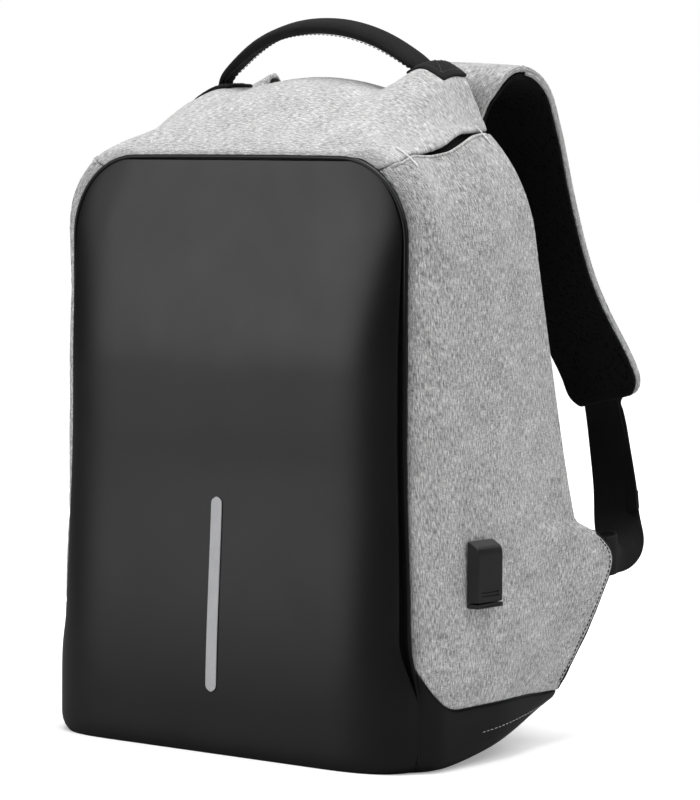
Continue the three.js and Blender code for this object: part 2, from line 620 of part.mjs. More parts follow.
const HANDLE_Y = 29;
const HANDLE_Z = 428.4;
const HANDLE_RISE = 34;
const handleCurve = curveThrough(
  [-1, -0.86, -0.55, -0.2, 0.2, 0.55, 0.86, 1].map((k) => {
    const up = HANDLE_RISE * (1 - Math.abs(k) ** 2.2);
    return [k * HANDLE_SPAN, HANDLE_Y - up * Math.sin(HANDLE_LEAN), HANDLE_Z + up * Math.cos(HANDLE_LEAN)];
  })
);
const handleAxis = new THREE.Vector3(0, Math.cos(HANDLE_LEAN), Math.sin(HANDLE_LEAN));
const handleBand = sheet(26, 2, (u, v, w) => {
  const across = 2 * v - 1;
  const half = mix(2.4, 9, smooth(0, 0.14, Math.min(u, 1 - u)));
  const thick = mix(2.4, 4, Math.sin(Math.PI * u)) * (1 - 0.3 * across ** 2);
  return onCurve(handleCurve, u, across * half, (w - 0.5) * thick, handleAxis);
});
add("handle", handleBand, webbingBlack);

// ---------- charging port ----------
const usbGroup = new THREE.Group();
const USB_X = bodyHalf((USB_Y - SEAM_Y) / (backY(USB_Z) - SEAM_Y), USB_Z);
usbGroup.position.set(USB_X, USB_Y, USB_Z);
group.add(usbGroup);

const USB = { wide: 26, high: 42, out: 9.5, cap: 3.2 };
// Outline seen from the front: x out of the wall, y up, with the top sloping back into the fabric.
const housingShape = new THREE.Shape();
housingShape.moveTo(0.9, -USB.high / 2 + USB.cap + GAP);
housingShape.lineTo(USB.out - 0.6, -USB.high / 2 + USB.cap + GAP);
housingShape.lineTo(USB.out, -USB.high / 2 + USB.cap + 1);
housingShape.lineTo(USB.out, 12.5);
housingShape.quadraticCurveTo(USB.out, 15.5, USB.out - 2.2, 17.5);
housingShape.lineTo(2.2, USB.high / 2 - 0.6);
housingShape.lineTo(0.9, USB.high / 2 - 0.6);
const housingBody = new THREE.ExtrudeGeometry(housingShape, {
  depth: USB.wide - 2.4,
  bevelThickness: 1.2,
  bevelSize: 0.9,
  bevelOffset: -0.9,
  bevelSegments: 2,
  curveSegments: 3,
})
  .translate(0, 0, -USB.wide / 2 + 1.2)
  .rotateX(Math.PI / 2);
const housingNeck = block(6, 17, 30, -1.5, 0, -1);
const SOCKET = { deep: 5, wide: 12.6, long: 15, wall: 0.35, x: 4.6, low: -USB.high / 2 + USB.cap + 0.4 };
const socketRoom = block(
  SOCKET.deep + 0.4, SOCKET.wide + 0.4, SOCKET.long + 2, SOCKET.x, 0, SOCKET.low + SOCKET.long / 2
);
const leadBore = new THREE.CylinderGeometry(2.2, 2.2, 12, 12).rotateZ(Math.PI / 2).translate(-1, 0, 9);
const grips = [0, 1].map((i) => block(1.4, 17, 0.9, USB.out, 0, -13.2 + 2.2 * i));
const housing = [socketRoom, leadBore, ...grips].reduce(
  (s, tool) => s.subtract(solidOf(tool)),
  solidOf(housingBody).add(solidOf(housingNeck))
);
add("usb_housing", geometryOf(housing), blackPlastic, usbGroup);

const flange = cut(block(1.6, 26, 44, -6.6, 0, -1), block(4, 17.8, 30.8, -6.6, 0, -1));
add("usb_flange", flange, blackPlastic, usbGroup);

const socketOuter = block(SOCKET.deep, SOCKET.wide, SOCKET.long, SOCKET.x, 0, SOCKET.low + SOCKET.long / 2);
const socketInner = block(
  SOCKET.deep - 2 * SOCKET.wall, SOCKET.wide - 2 * SOCKET.wall, SOCKET.long,
  SOCKET.x, 0, SOCKET.low + SOCKET.long / 2 - SOCKET.wall
);
add("usb_socket_shell", cut(socketOuter, socketInner), steel, usbGroup);
const tongue = block(1.9, 11, 8.4, SOCKET.x - 0.9, 0, SOCKET.low + 9.8);
add("usb_tongue", tongue, paint(0xe8e8e8, 0.5), usbGroup);
const contacts = [0, 1, 2, 3].map((i) =>
  block(0.3, 1, 6.5, SOCKET.x + 0.5, -3.5 + (7 * i) / 3, SOCKET.low + 9.6)
);
const contactBar = block(0.3, 9, 0.8, SOCKET.x + 0.5, 0, SOCKET.low + 13.2);
add("usb_contacts", join(contactBar, ...contacts), steel, usbGroup);
// Grommet in the flange side of the housing, where the inner lead comes through.
const grommet = cut(
  new THREE.CylinderGeometry(1.9, 1.9, 9, 12).rotateZ(Math.PI / 2).translate(-4.2, 0, 9),
  new THREE.CylinderGeometry(1.2, 1.2, 14, 12).rotateZ(Math.PI / 2).translate(-4.2, 0, 9)
);
add("usb_grommet", grommet, blackPlastic, usbGroup);

// Dust flap under the socket: it swings down about its inner edge.
const FLAP_PIN_X = 2.2;
const flapPlate = block(USB.out - FLAP_PIN_X, USB.wide, USB.cap - 0.6, (USB.out + FLAP_PIN_X) / 2, 0, -USB.high / 2 + 1.6);
const flapHinge = new THREE.CylinderGeometry(1.2, 1.2, USB.wide, 12).translate(FLAP_PIN_X, 0, -USB.high / 2 + 1.6);
const flapGroove = block(0.8, 20, 0.8, USB.out, 0, -USB.high / 2 + 1.6);
add("usb_flap", cut(join(flapPlate, flapHinge), flapGroove), blackPlastic, usbGroup);

export default group;
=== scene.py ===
# Looks of a hard-fronted commuter backpack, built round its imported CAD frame.
# Shapes are worked out in millimetres, as in the CAD source, and become metres in mesh_object.
# +X is the wearer's right, -Y the black front, +Y the wearer's back, +Z up.
import math
import bpy
import bmesh
import numpy as np
from mathutils import Matrix, Vector

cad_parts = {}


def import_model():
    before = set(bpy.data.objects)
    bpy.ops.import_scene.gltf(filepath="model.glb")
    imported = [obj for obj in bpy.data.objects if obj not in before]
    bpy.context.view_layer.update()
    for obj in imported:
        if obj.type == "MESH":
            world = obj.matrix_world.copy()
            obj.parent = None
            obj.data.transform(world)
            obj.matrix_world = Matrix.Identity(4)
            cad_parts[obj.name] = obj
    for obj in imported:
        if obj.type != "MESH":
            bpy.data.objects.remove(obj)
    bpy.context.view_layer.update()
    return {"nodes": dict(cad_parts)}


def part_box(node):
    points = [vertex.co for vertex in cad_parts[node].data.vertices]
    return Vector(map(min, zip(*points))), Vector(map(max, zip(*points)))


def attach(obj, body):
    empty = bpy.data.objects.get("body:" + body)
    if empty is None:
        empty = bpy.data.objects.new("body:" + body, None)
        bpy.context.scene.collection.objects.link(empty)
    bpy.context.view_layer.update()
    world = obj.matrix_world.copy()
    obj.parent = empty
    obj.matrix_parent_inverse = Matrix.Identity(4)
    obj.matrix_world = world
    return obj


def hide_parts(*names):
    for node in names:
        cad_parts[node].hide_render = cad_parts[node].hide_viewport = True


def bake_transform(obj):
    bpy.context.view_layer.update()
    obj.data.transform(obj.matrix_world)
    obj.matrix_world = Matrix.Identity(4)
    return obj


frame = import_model()
METRE = 0.001


def box_mm(node):
    """Lowest and highest corner of a CAD node, in millimetres."""
    low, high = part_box(node)
    return low / METRE, high / METRE


# ---------- driving dimensions, as in the CAD source ----------
SEAM_Y = -62
SEAM_HALF = 136
SEAM_TOP = 376
SEAM_R = 52
SIDE_ROLL = 15
ROLL_DEPTH = 0.09  # share of the depth over which the roll rises
VALLEY_DIP = 0.18
TOP_ROLL = 7
BODY_TAPER = 9
BODY_R = 88
BODY_RISE = 34
CROWN = 9
YOKE_RIGHT = 24
YOKE_LEFT = 9
FLARE = 4
WALL = 3.5
BACK_FOOT_Y = 105
BACK_FOOT_Z = 140
BACK_LEAN = 0.236
BOOT_Z = 38
BOOT_CORNER_UP = 30
BOOT_CORNER_BACK = 30
BASE_R = 12
BASE_FLAT_Y = 46
BASE_REAR_Y = 84
BASE_REAR_Z = 27
DOME_SIDE = 55
DOME_TOP = 28
DOME_BASE = 16
SEAM = 0.5  # open line between two pieces that are sewn together
INSIDE = (0, 10, 180)  # a point in the middle of the bag


# ---------- small maths ----------
def clamp01(v):
    return min(1.0, max(0.0, v))


def mix(a, b, k):
    return a + (b - a) * k


def smooth(start, end, v):
    k = clamp01((v - start) / (end - start))
    return k * k * (3 - 2 * k)


def unit(vectors):
    """Each vector at length 1."""
    size = np.linalg.norm(vectors, axis=-1, keepdims=True)
    return vectors / np.maximum(size, 1e-9)


# ---------- the shape of the body, as in the CAD source ----------
# t runs from 0 at the front seam to 1 at the back plane.
def corner_fill(z):
    """How far the front and the boot close into one smooth corner, near the floor."""
    return 1 - smooth(40, 84, z)


def roll(t, z=300):
    """How far the side or top stands out behind the front seam, from about 0 to 1."""
    valley = math.sqrt(1 - (1 - clamp01(t / ROLL_DEPTH)) ** 2) - VALLEY_DIP * (1 - clamp01(t / 0.012))
    closed = 1 - 0.55 * (1 - clamp01(t / 0.13)) ** 3
    return mix(valley, closed, corner_fill(z))


def back_y(z):
    """Depth of the back: a leaning plane that curls forward below its foot."""
    if z > BACK_FOOT_Z:
        return BACK_FOOT_Y - (z - BACK_FOOT_Z) * BACK_LEAN
    return BACK_FOOT_Y - 21 * ((BACK_FOOT_Z - z) / 105) ** 2


def depth_y(t, z):
    """Depth at a height, from the front seam at t = 0 to the back plane at t = 1."""
    return SEAM_Y + t * (back_y(z) - SEAM_Y)


def flare(z):
    """The bag is a little wider towards its foot."""
    return FLARE * smooth(215, 75, z)


def body_half(t, z):
    return SEAM_HALF + SIDE_ROLL * roll(t, z) - BODY_TAPER * smooth(0.45, 1, t) + flare(z)


def body_top(t):
    rise = BODY_RISE * math.sin(math.pi / 2 * clamp01((t - 0.05) / 0.8))
    return SEAM_TOP + TOP_ROLL * roll(t) + rise


def body_radius(t):
    return mix(SEAM_R, BODY_R, smooth(0, 0.35, t))


def top_height(t, x):
    radius = body_radius(t)
    flat = body_half(t, 340) - radius
    arch = body_top(t) - radius + math.sqrt(radius**2 - max(abs(x) - flat, 0) ** 2)
    crown = CROWN * smooth(0.1, 0.6, t) * (1 - 0.4 * smooth(0.88, 1, t))
    yoke = smooth(0.35, 0.95, t) * smooth(50, 90, abs(x)) * (1 - smooth(102, 117, abs(x)))
    return arch + crown * (1 - clamp01(abs(x) / flat) ** 2) + (YOKE_RIGHT if x > 0 else YOKE_LEFT) * yoke


def side_point(t, low, along):
    """A point of the side wall, along millimetres up from the height low."""
    radius = body_radius(t)
    corner = body_top(t) - radius
    straight = corner - low
    if along <= straight:
        z = low + along
        return [body_half(t, z), depth_y(t, z), z]
    angle = (along - straight) / radius
    z = corner + radius * math.sin(angle)
    return [body_half(t, corner) - radius * (1 - math.cos(angle)), depth_y(t, z), z]


def split_angle(t):
    """Where the side meets the top, as an angle round the corner from the side."""
    return mix(0.99, math.pi / 4, smooth(0, 0.5, t))


def side_length(t, low):
    """Length of the side's cloth from the height low up to the top's seam."""
    return body_top(t) - body_radius(t) - low + body_radius(t) * split_angle(t)


def boot_seam(t):
    """Height of the seam between side and boot. It climbs steeply to the front's lower corner."""
    y = depth_y(t, BOOT_Z)
    into = clamp01((SEAM_Y + BOOT_CORNER_BACK - y) / BOOT_CORNER_BACK)
    return BOOT_Z + BOOT_CORNER_UP * (1 - math.sqrt(1 - into * into)) - 2 * smooth(30, 84, y)


def edge_lift(y):
    """Height of the base's outer edge above the floor, rising to the rear."""
    return BASE_REAR_Z * clamp01((y + 40) / (BASE_REAR_Y + 40)) ** 1.45


def base_z(x, y):
    middle = BASE_REAR_Z * clamp01((y - BASE_FLAT_Y) / (BASE_REAR_Y - BASE_FLAT_Y)) ** 1.3
    return mix(middle, edge_lift(y), smooth(84, 130, abs(x)))


def along_depth(u):
    """Packs the columns of a grid close together near the front seam."""
    return u**1.7


def corner_forward(t, z):
    """How far the side and boot move forward to meet the front in its lower corner."""
    return 0.8 * corner_fill(z) * (1 - clamp01(t / 0.06)) ** 2


def front_half(z):
    """Half width of the front seam's outline at a height."""
    above = clamp01((z - (SEAM_TOP - SEAM_R)) / SEAM_R) * SEAM_R
    return SEAM_HALF - SEAM_R + math.sqrt(SEAM_R**2 - above**2) + flare(z)


def front_centre_y(z):
    """Depth of the front's middle, which swells forward towards the foot."""
    return -66 - 14 * smooth(376, 242, z) - 6 * smooth(192, 32, z)


def dome(x, z):
    """How far the front stands out, from 0 at its edge to 1 over its flat middle."""
    corner = SEAM_TOP - SEAM_R
    past = max(abs(x) - (SEAM_HALF - SEAM_R), 0)
    corner_gap = SEAM_R - math.hypot(past, max(z - corner, 0))
    gap = corner_gap if z > corner else front_half(z) - abs(x)
    reach = mix(DOME_TOP, DOME_SIDE, smooth(0, 30, past)) if z > corner else DOME_SIDE

    def rise(d, over):
        return math.sqrt(max(0, 1 - (1 - clamp01(d / over)) ** 3))

    full = rise(gap, reach)
    soft = 1 - 0.975 * (1 - clamp01(gap / reach)) ** 4
    across = mix(full, soft, corner_fill(z))
    return across * mix(0.72, 1, rise(z, DOME_BASE))


# ---------- the plane of the back ----------
LEAN = math.atan(BACK_LEAN)
BACK_HALF = SEAM_HALF + SIDE_ROLL - BODY_TAPER
BACK_TOP = (SEAM_TOP + TOP_ROLL + BODY_RISE - BACK_FOOT_Z) / math.cos(LEAN)
UP_BACK = np.array([0, -math.sin(LEAN), math.cos(LEAN)])
OUT_BACK = np.array([0, math.cos(LEAN), math.sin(LEAN)])


def on_back(x, up, out):
    """A point given across, up and out of the leaning back plane."""
    return np.array([x, BACK_FOOT_Y, BACK_FOOT_Z]) + up * UP_BACK + out * OUT_BACK


def arch_points(inset, low, step):
    """Points (x, up) of a line that runs up one side of the back, over the top and down the other."""
    half = BACK_HALF - inset
    radius = BODY_R - inset
    top = BACK_TOP - inset
    sides = max(2, round((top - radius - low) / step))
    turns = max(4, round(math.pi / 2 * radius / step))
    flats = max(2, round(2 * (half - radius) / step))
    points = [(half, mix(low, top - radius, i / sides)) for i in range(sides)]
    for i in range(turns):
        angle = math.pi / 2 * i / turns
        points.append((half - radius * (1 - math.cos(angle)), top - radius * (1 - math.sin(angle))))
    points += [(mix(half - radius, 0, 2 * i / flats), top) for i in range(flats // 2)]
    return points + [(0, top)] + [(-x, up) for x, up in reversed(points)]


# ---------- smooth routes ----------
class Path:
    """A smooth curve through points, read by its length from 0 to 1."""

    def __init__(self, points, per_span=24):
        p = np.array(points, float)
        p = np.vstack([2 * p[0] - p[1], p, 2 * p[-1] - p[-2]])
        dense = []
        for i in range(1, len(p) - 2):
            dense.append(self.span(p[i - 1 : i + 3], np.linspace(0, 1, per_span, endpoint=False)))
        self.points = np.vstack([*dense, p[-2:-1]])
        steps = np.linalg.norm(np.diff(self.points, axis=0), axis=1)
        self.reach = np.concatenate([[0], np.cumsum(steps)])
        self.length = self.reach[-1]

    @staticmethod
    def span(p, k):
        """Centripetal Catmull-Rom between the second and third of four points."""
        d0, d1, d2 = (max(np.linalg.norm(p[i + 1] - p[i]) ** 0.5, 1e-6) for i in range(3))
        start = ((p[1] - p[0]) / d0 - (p[2] - p[0]) / (d0 + d1) + (p[2] - p[1]) / d1) * d1
        end = ((p[2] - p[1]) / d1 - (p[3] - p[1]) / (d1 + d2) + (p[3] - p[2]) / d2) * d1
        k = k[:, None]
        return (
            (2 * k**3 - 3 * k**2 + 1) * p[1]
            + (k**3 - 2 * k**2 + k) * start
            + (3 * k**2 - 2 * k**3) * p[2]
            + (k**3 - k**2) * end
        )

    def at(self, k):
        s = clamp01(k) * self.length
        return np.array([np.interp(s, self.reach, self.points[:, i]) for i in range(3)])

    def tangent(self, k):
        step = 0.6 / self.length
        return unit(self.at(min(k + step, 1)) - self.at(max(k - step, 0)))


# ---------- meshes ----------
def mesh_object(name, points, faces, materials, uv=None, face_material=None):
    """A mesh piece from points in millimetres. uv is one pair per point, in centimetres of cloth."""
    mesh = bpy.data.meshes.new(name)
    mesh.from_pydata([tuple(p) for p in np.asarray(points, float) * METRE], [], faces)
    piece = bpy.data.objects.new(name, mesh)
    bpy.context.scene.collection.objects.link(piece)
    for material in materials:
        mesh.materials.append(material)
    if face_material is not None:
        mesh.polygons.foreach_set("material_index", face_material)
    if uv is not None:
        lay_cloth(mesh, uv)
    made = bmesh.new()
    made.from_mesh(mesh)
    bmesh.ops.recalc_face_normals(made, faces=made.faces)
    made.to_mesh(mesh)
    made.free()
    mesh.shade_smooth()
    return piece


def lay_cloth(mesh, uv):
    """Writes each point's place on its cloth, a pair in centimetres."""
    layer = mesh.uv_layers.get("cloth") or mesh.uv_layers.new(name="cloth")
    corners = np.zeros(len(mesh.loops), np.int32)
    mesh.loops.foreach_get("vertex_index", corners)
    layer.data.foreach_set("uv", np.asarray(uv, np.float32)[corners].ravel())


def grid_normals(grid):
    """Unit normals of a grid of points, pointing away from the middle of the bag."""
    normals = unit(np.cross(np.gradient(grid, axis=0), np.gradient(grid, axis=1)))
    away = np.sum(normals * (grid - np.array(INSIDE)))
    return normals if away > 0 else -normals


def grid_of(nu, nv, place):
    return np.array([[place(i / nu, j / nv) for j in range(nv + 1)] for i in range(nu + 1)], float)


def cloth_lengths(grid):
    """How far each point of a grid lies along the cloth from its middle lines, in centimetres."""
    pair = []
    for axis in (0, 1):
        steps = np.linalg.norm(np.diff(grid, axis=axis), axis=2)
        reach = np.cumsum(steps, axis=axis)
        first = np.zeros_like(np.take(reach, [0], axis=axis))
        reach = np.concatenate([first, reach], axis=axis)
        middle = np.take(reach, [grid.shape[axis] // 2], axis=axis)
        pair.append((reach - middle) / 10)
    return np.stack(pair, axis=2).reshape(-1, 2)


def shell(name, outer, thick, materials, normals=None, rim=4):
    """A closed shell of cloth: outer is the grid of its outer face, and its edge is rounded."""
    nu, nv = outer.shape[:2]
    normals = grid_normals(outer) if normals is None else normals
    loop = [(i, 0) for i in range(nu - 1)] + [(nu - 1, j) for j in range(nv - 1)]
    loop += [(i, nv - 1) for i in range(nu - 1, 0, -1)] + [(0, j) for j in range(nv - 1, 0, -1)]
    at = np.array([i * nv + j for i, j in loop])
    near = np.array([np.clip(i, 1, nu - 2) * nv + np.clip(j, 1, nv - 2) for i, j in loop])
    flat = outer.reshape(-1, 3)
    n = normals.reshape(-1, 3)
    outwards = flat[at] - flat[near]
    outwards -= n[at] * np.sum(outwards * n[at], axis=1, keepdims=True)
    outwards = unit(outwards)
    half = thick / 2
    rings = [at]
    points = [flat, flat - n * thick]
    for k in range(1, rim):
        angle = math.pi * k / rim
        ring = flat[at] + outwards * half * math.sin(angle) - n[at] * half * (1 - math.cos(angle))
        rings.append(2 * nu * nv + (k - 1) * len(loop) + np.arange(len(loop)))
        points.append(ring)
    rings.append(nu * nv + at)
    faces = []
    face_material = []
    for side in (0, 1):
        for i in range(nu - 1):
            for j in range(nv - 1):
                a = side * nu * nv + i * nv + j
                faces.append((a, a + 1, a + nv + 1, a + nv))
                face_material.append(side if len(materials) > 1 else 0)
    for lower, upper in zip(rings, rings[1:]):
        for k in range(len(loop)):
            m = (k + 1) % len(loop)
            faces.append((int(lower[k]), int(lower[m]), int(upper[m]), int(upper[k])))
            face_material.append(0)
    uv = cloth_lengths(outer)
    uv = np.vstack([uv, uv] + [uv[at]] * (rim - 1))
    return mesh_object(name, np.vstack(points), faces, materials, uv, face_material)


def tube(name, rings, materials):
    """A closed tube through rings of points, each ring having the same number."""
    rings = np.asarray(rings, float)
    n, m = rings.shape[:2]
    around = np.concatenate([np.zeros((n, 1)), np.cumsum(
        np.linalg.norm(np.diff(rings, axis=1), axis=2), axis=1)], axis=1)
    centres = rings.mean(axis=1)
    reach = np.concatenate([[0], np.cumsum(np.linalg.norm(np.diff(centres, axis=0), axis=1))])
    uv = np.stack([around, np.repeat(reach[:, None], m, axis=1)], axis=2).reshape(-1, 2) / 10
    points = np.vstack([rings.reshape(-1, 3), centres[:1], centres[-1:]])
    uv = np.vstack([uv, uv[:1], uv[-1:]])
    faces = []
    for i in range(n - 1):
        for j in range(m):
            k = (j + 1) % m
            faces.append((i * m + j, i * m + k, (i + 1) * m + k, (i + 1) * m + j))
    for j in range(m):
        k = (j + 1) % m
        faces.append((n * m, k, j))
        faces.append((n * m + 1, (n - 1) * m + j, (n - 1) * m + k))
    return mesh_object(name, points, faces, materials, uv)


def cord_tube(name, points, radius, materials, sides=10):
    """A round cord through points, with closed ends."""
    points = np.asarray(points, float)
    tangents = unit(np.gradient(points, axis=0))
    side = unit(np.cross(tangents[0], (0.3, 0.9, 0.2)))
    rings = []
    for p, t in zip(points, tangents):
        side = unit(side - t * np.dot(side, t))
        other = np.cross(t, side)
        turns = [2 * math.pi * k / sides for k in range(sides)]
        rings.append([p + radius * (math.cos(a) * side + math.sin(a) * other) for a in turns])
    return tube(name, rings, materials)


def round_section(angle, square):
    """A point of a rounded rectangle's outline, 1 half wide and 1 half tall. square is 0 for round."""
    power = mix(1.0, 0.12, square)
    c, s = math.cos(angle), math.sin(angle)
    return math.copysign(abs(c) ** power, c), math.copysign(abs(s) ** power, s)


def ribbon(name, path, materials, half, top, bottom, axis, steps, sides=28, square=0.75, ends=0.004):
    """A band along a path. half, top, bottom and axis (of its width) are functions of the way along."""
    ks = [0, ends * 0.4, ends] + [mix(ends, 1 - ends, i / steps) for i in range(1, steps)]
    ks += [1 - ends, 1 - ends * 0.4, 1]
    rings = []
    for n, k in enumerate(ks):
        middle = (top(k) + bottom(k)) / 2
        tall = (top(k) - bottom(k)) / 2
        shrink = {0: 0.6, 1: 0.9}.get(min(n, len(ks) - 1 - n), 1)
        ring = []
        for j in range(sides):
            across, out = round_section(2 * math.pi * j / sides, square)
            bow = 1 - 0.35 * across**4 if tall > 1.5 else 1
            ring.append(band_point(path, k, across * half(k), middle + out * tall * shrink * bow, axis(k)))
        rings.append(ring)
    return tube(name, rings, materials)


def constant(value):
    """A function of the way along a band that is the same all along."""
    return lambda k: value


def band_point(path, k, across, out, width_axis):
    """A point beside a path: across along the band's width and out along its outer normal."""
    tangent = path.tangent(k)
    side = unit(width_axis - tangent * np.dot(width_axis, tangent))
    return path.at(k) + side * across + np.cross(side, tangent) * out


def mirrored(points):
    return np.asarray(points, float) * (-1, 1, 1)


def add_bead(verts, faces, rings):
    """Adds one small closed solid, a stitch or a zip tooth, from rings of points."""
    sides = len(rings[0])
    start = len(verts)
    for n, ring in enumerate(rings):
        low = start + n * sides
        verts.extend(ring)
        for k in range(sides if n < len(rings) - 1 else 0):
            m = (k + 1) % sides
            faces.append((low + k, low + m, low + sides + m, low + sides + k))
    faces.append(tuple(start + k for k in range(sides - 1, -1, -1)))
    faces.append(tuple(low + k for k in range(sides)))


# Along a stitch: place, width and lift, as shares of its length, radius and radius.
STITCH_PROFILE = ((-0.5, 0.35, -0.3), (-0.3, 1, 0.25), (0, 1.1, 0.55), (0.3, 1, 0.25), (0.5, 0.35, -0.3))
STITCH_SIDES = 6


def thread(name, points, normals, material, body, pitch=3.4, length=2.5, radius=0.34):
    """A row of stitches along a route of points that lies on a surface."""
    points = np.asarray(points, float)
    reach = np.concatenate([[0], np.cumsum(np.linalg.norm(np.diff(points, axis=0), axis=1))])
    if np.ndim(normals) == 1:
        normals = np.repeat(np.array([normals], float), len(points), axis=0)

    def along(values, s):
        return np.array([np.interp(s, reach, values[:, i]) for i in range(3)])

    verts, faces = [], []
    for n in range(int(reach[-1] // pitch)):
        middle = (n + 0.5) * pitch
        rings = []
        for place, wide, lift in STITCH_PROFILE:
            p = along(points, middle + place * length)
            normal = unit(along(np.asarray(normals), middle))
            ahead = unit(along(points, middle + 0.6) - along(points, middle - 0.6))
            across = unit(np.cross(ahead, normal))
            ring = []
            for k in range(STITCH_SIDES):
                angle = 2 * math.pi * k / STITCH_SIDES
                offset = across * math.cos(angle) + normal * (math.sin(angle) + lift)
                ring.append(p + offset * radius * wide)
            rings.append(ring)
        add_bead(verts, faces, rings)
    piece = mesh_object(name, verts, faces, [material])
    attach(piece, body)
    return piece


def on_grid(grid, u, v):
    """A point of a grid, at u and v from 0 to 1."""
    x, y = clamp01(u) * (grid.shape[0] - 1), clamp01(v) * (grid.shape[1] - 1)
    i, j = min(int(x), grid.shape[0] - 2), min(int(y), grid.shape[1] - 2)
    a, b = x - i, y - j
    near = mix(grid[i, j], grid[i, j + 1], b)
    return mix(near, mix(grid[i + 1, j], grid[i + 1, j + 1], b), a)


def sew(name, grid, route, material, body, lift=0.1, **stitch):
    """Stitches along a route of (u, v) pairs on a grid of a panel."""
    normals = grid_normals(grid)
    normal = [unit(on_grid(normals, u, v)) for u, v in route]
    points = [on_grid(grid, u, v) + n * lift for (u, v), n in zip(route, normal)]
    return thread(name, points, normal, material, body, **stitch)


def line(a, b, count=40):
    """Evenly spaced pairs from a to b."""
    return [(mix(a[0], b[0], i / count), mix(a[1], b[1], i / count)) for i in range(count + 1)]


# ---------- cloth simulation ----------
SIM_STEPS = 20


def run_cloth(piece, pressure, **settings):
    """Runs Blender's cloth on a mesh and returns where its points end, in metres."""
    cloth = piece.modifiers.new("cloth", "CLOTH")
    cloth.settings.quality = 5
    cloth.settings.mass = 0.3
    cloth.settings.use_pressure = True
    cloth.settings.uniform_pressure_force = pressure
    cloth.settings.effector_weights.gravity = 0
    cloth.collision_settings.use_collision = False
    for key, value in settings.items():
        setattr(cloth.settings, key, value)
    cloth.point_cache.frame_end = SIM_STEPS
    scene = bpy.context.scene
    for step in range(1, SIM_STEPS + 1):
        scene.frame_set(step)
    graph = bpy.context.evaluated_depsgraph_get()
    solved = piece.evaluated_get(graph).to_mesh()
    points = np.zeros(len(solved.vertices) * 3)
    solved.vertices.foreach_get("co", points)
    piece.modifiers.remove(cloth)
    scene.frame_set(1)
    return points.reshape(-1, 3)


def limited(rest, moved, cap):
    """Moved points, none of them further than cap from rest."""
    offset = moved - rest
    size = np.linalg.norm(offset, axis=1, keepdims=True)
    return rest + offset * cap / (cap + size)


def tensioned(grid, pressure, grow, cap, held=()):
    """A panel sewn down all round its edge, let go by a cloth simulation. held are points that stay."""
    nu, nv = grid.shape[:2]
    ids = np.arange(nu * nv).reshape(nu, nv)
    faces = [
        (int(ids[i, j]), int(ids[i + 1, j]), int(ids[i + 1, j + 1]), int(ids[i, j + 1]))
        for i in range(nu - 1) for j in range(nv - 1)
    ]
    flat = grid.reshape(-1, 3)
    piece = mesh_object("panel_in_cloth", flat, faces, [])
    first = piece.data.polygons[len(faces) // 2]
    if first.normal.dot(first.center / METRE - Vector(INSIDE)) < 0:
        piece.data.flip_normals()
    pins = set(ids[0]) | set(ids[-1]) | set(ids[:, 0]) | set(ids[:, -1])
    for centre, reach in held:
        gap = np.linalg.norm(flat - np.array(centre), axis=1)
        pins |= set(np.nonzero(gap < reach)[0])
    group = piece.vertex_groups.new(name="sewn")
    group.add([int(i) for i in pins], 1.0, "REPLACE")
    moved = run_cloth(
        piece, pressure, vertex_group_mass="sewn", shrink_min=-grow, tension_stiffness=12,
        compression_stiffness=12, shear_stiffness=4, bending_stiffness=0.4,
    )
    bpy.data.objects.remove(piece)
    return limited(flat, moved / METRE, cap).reshape(grid.shape)


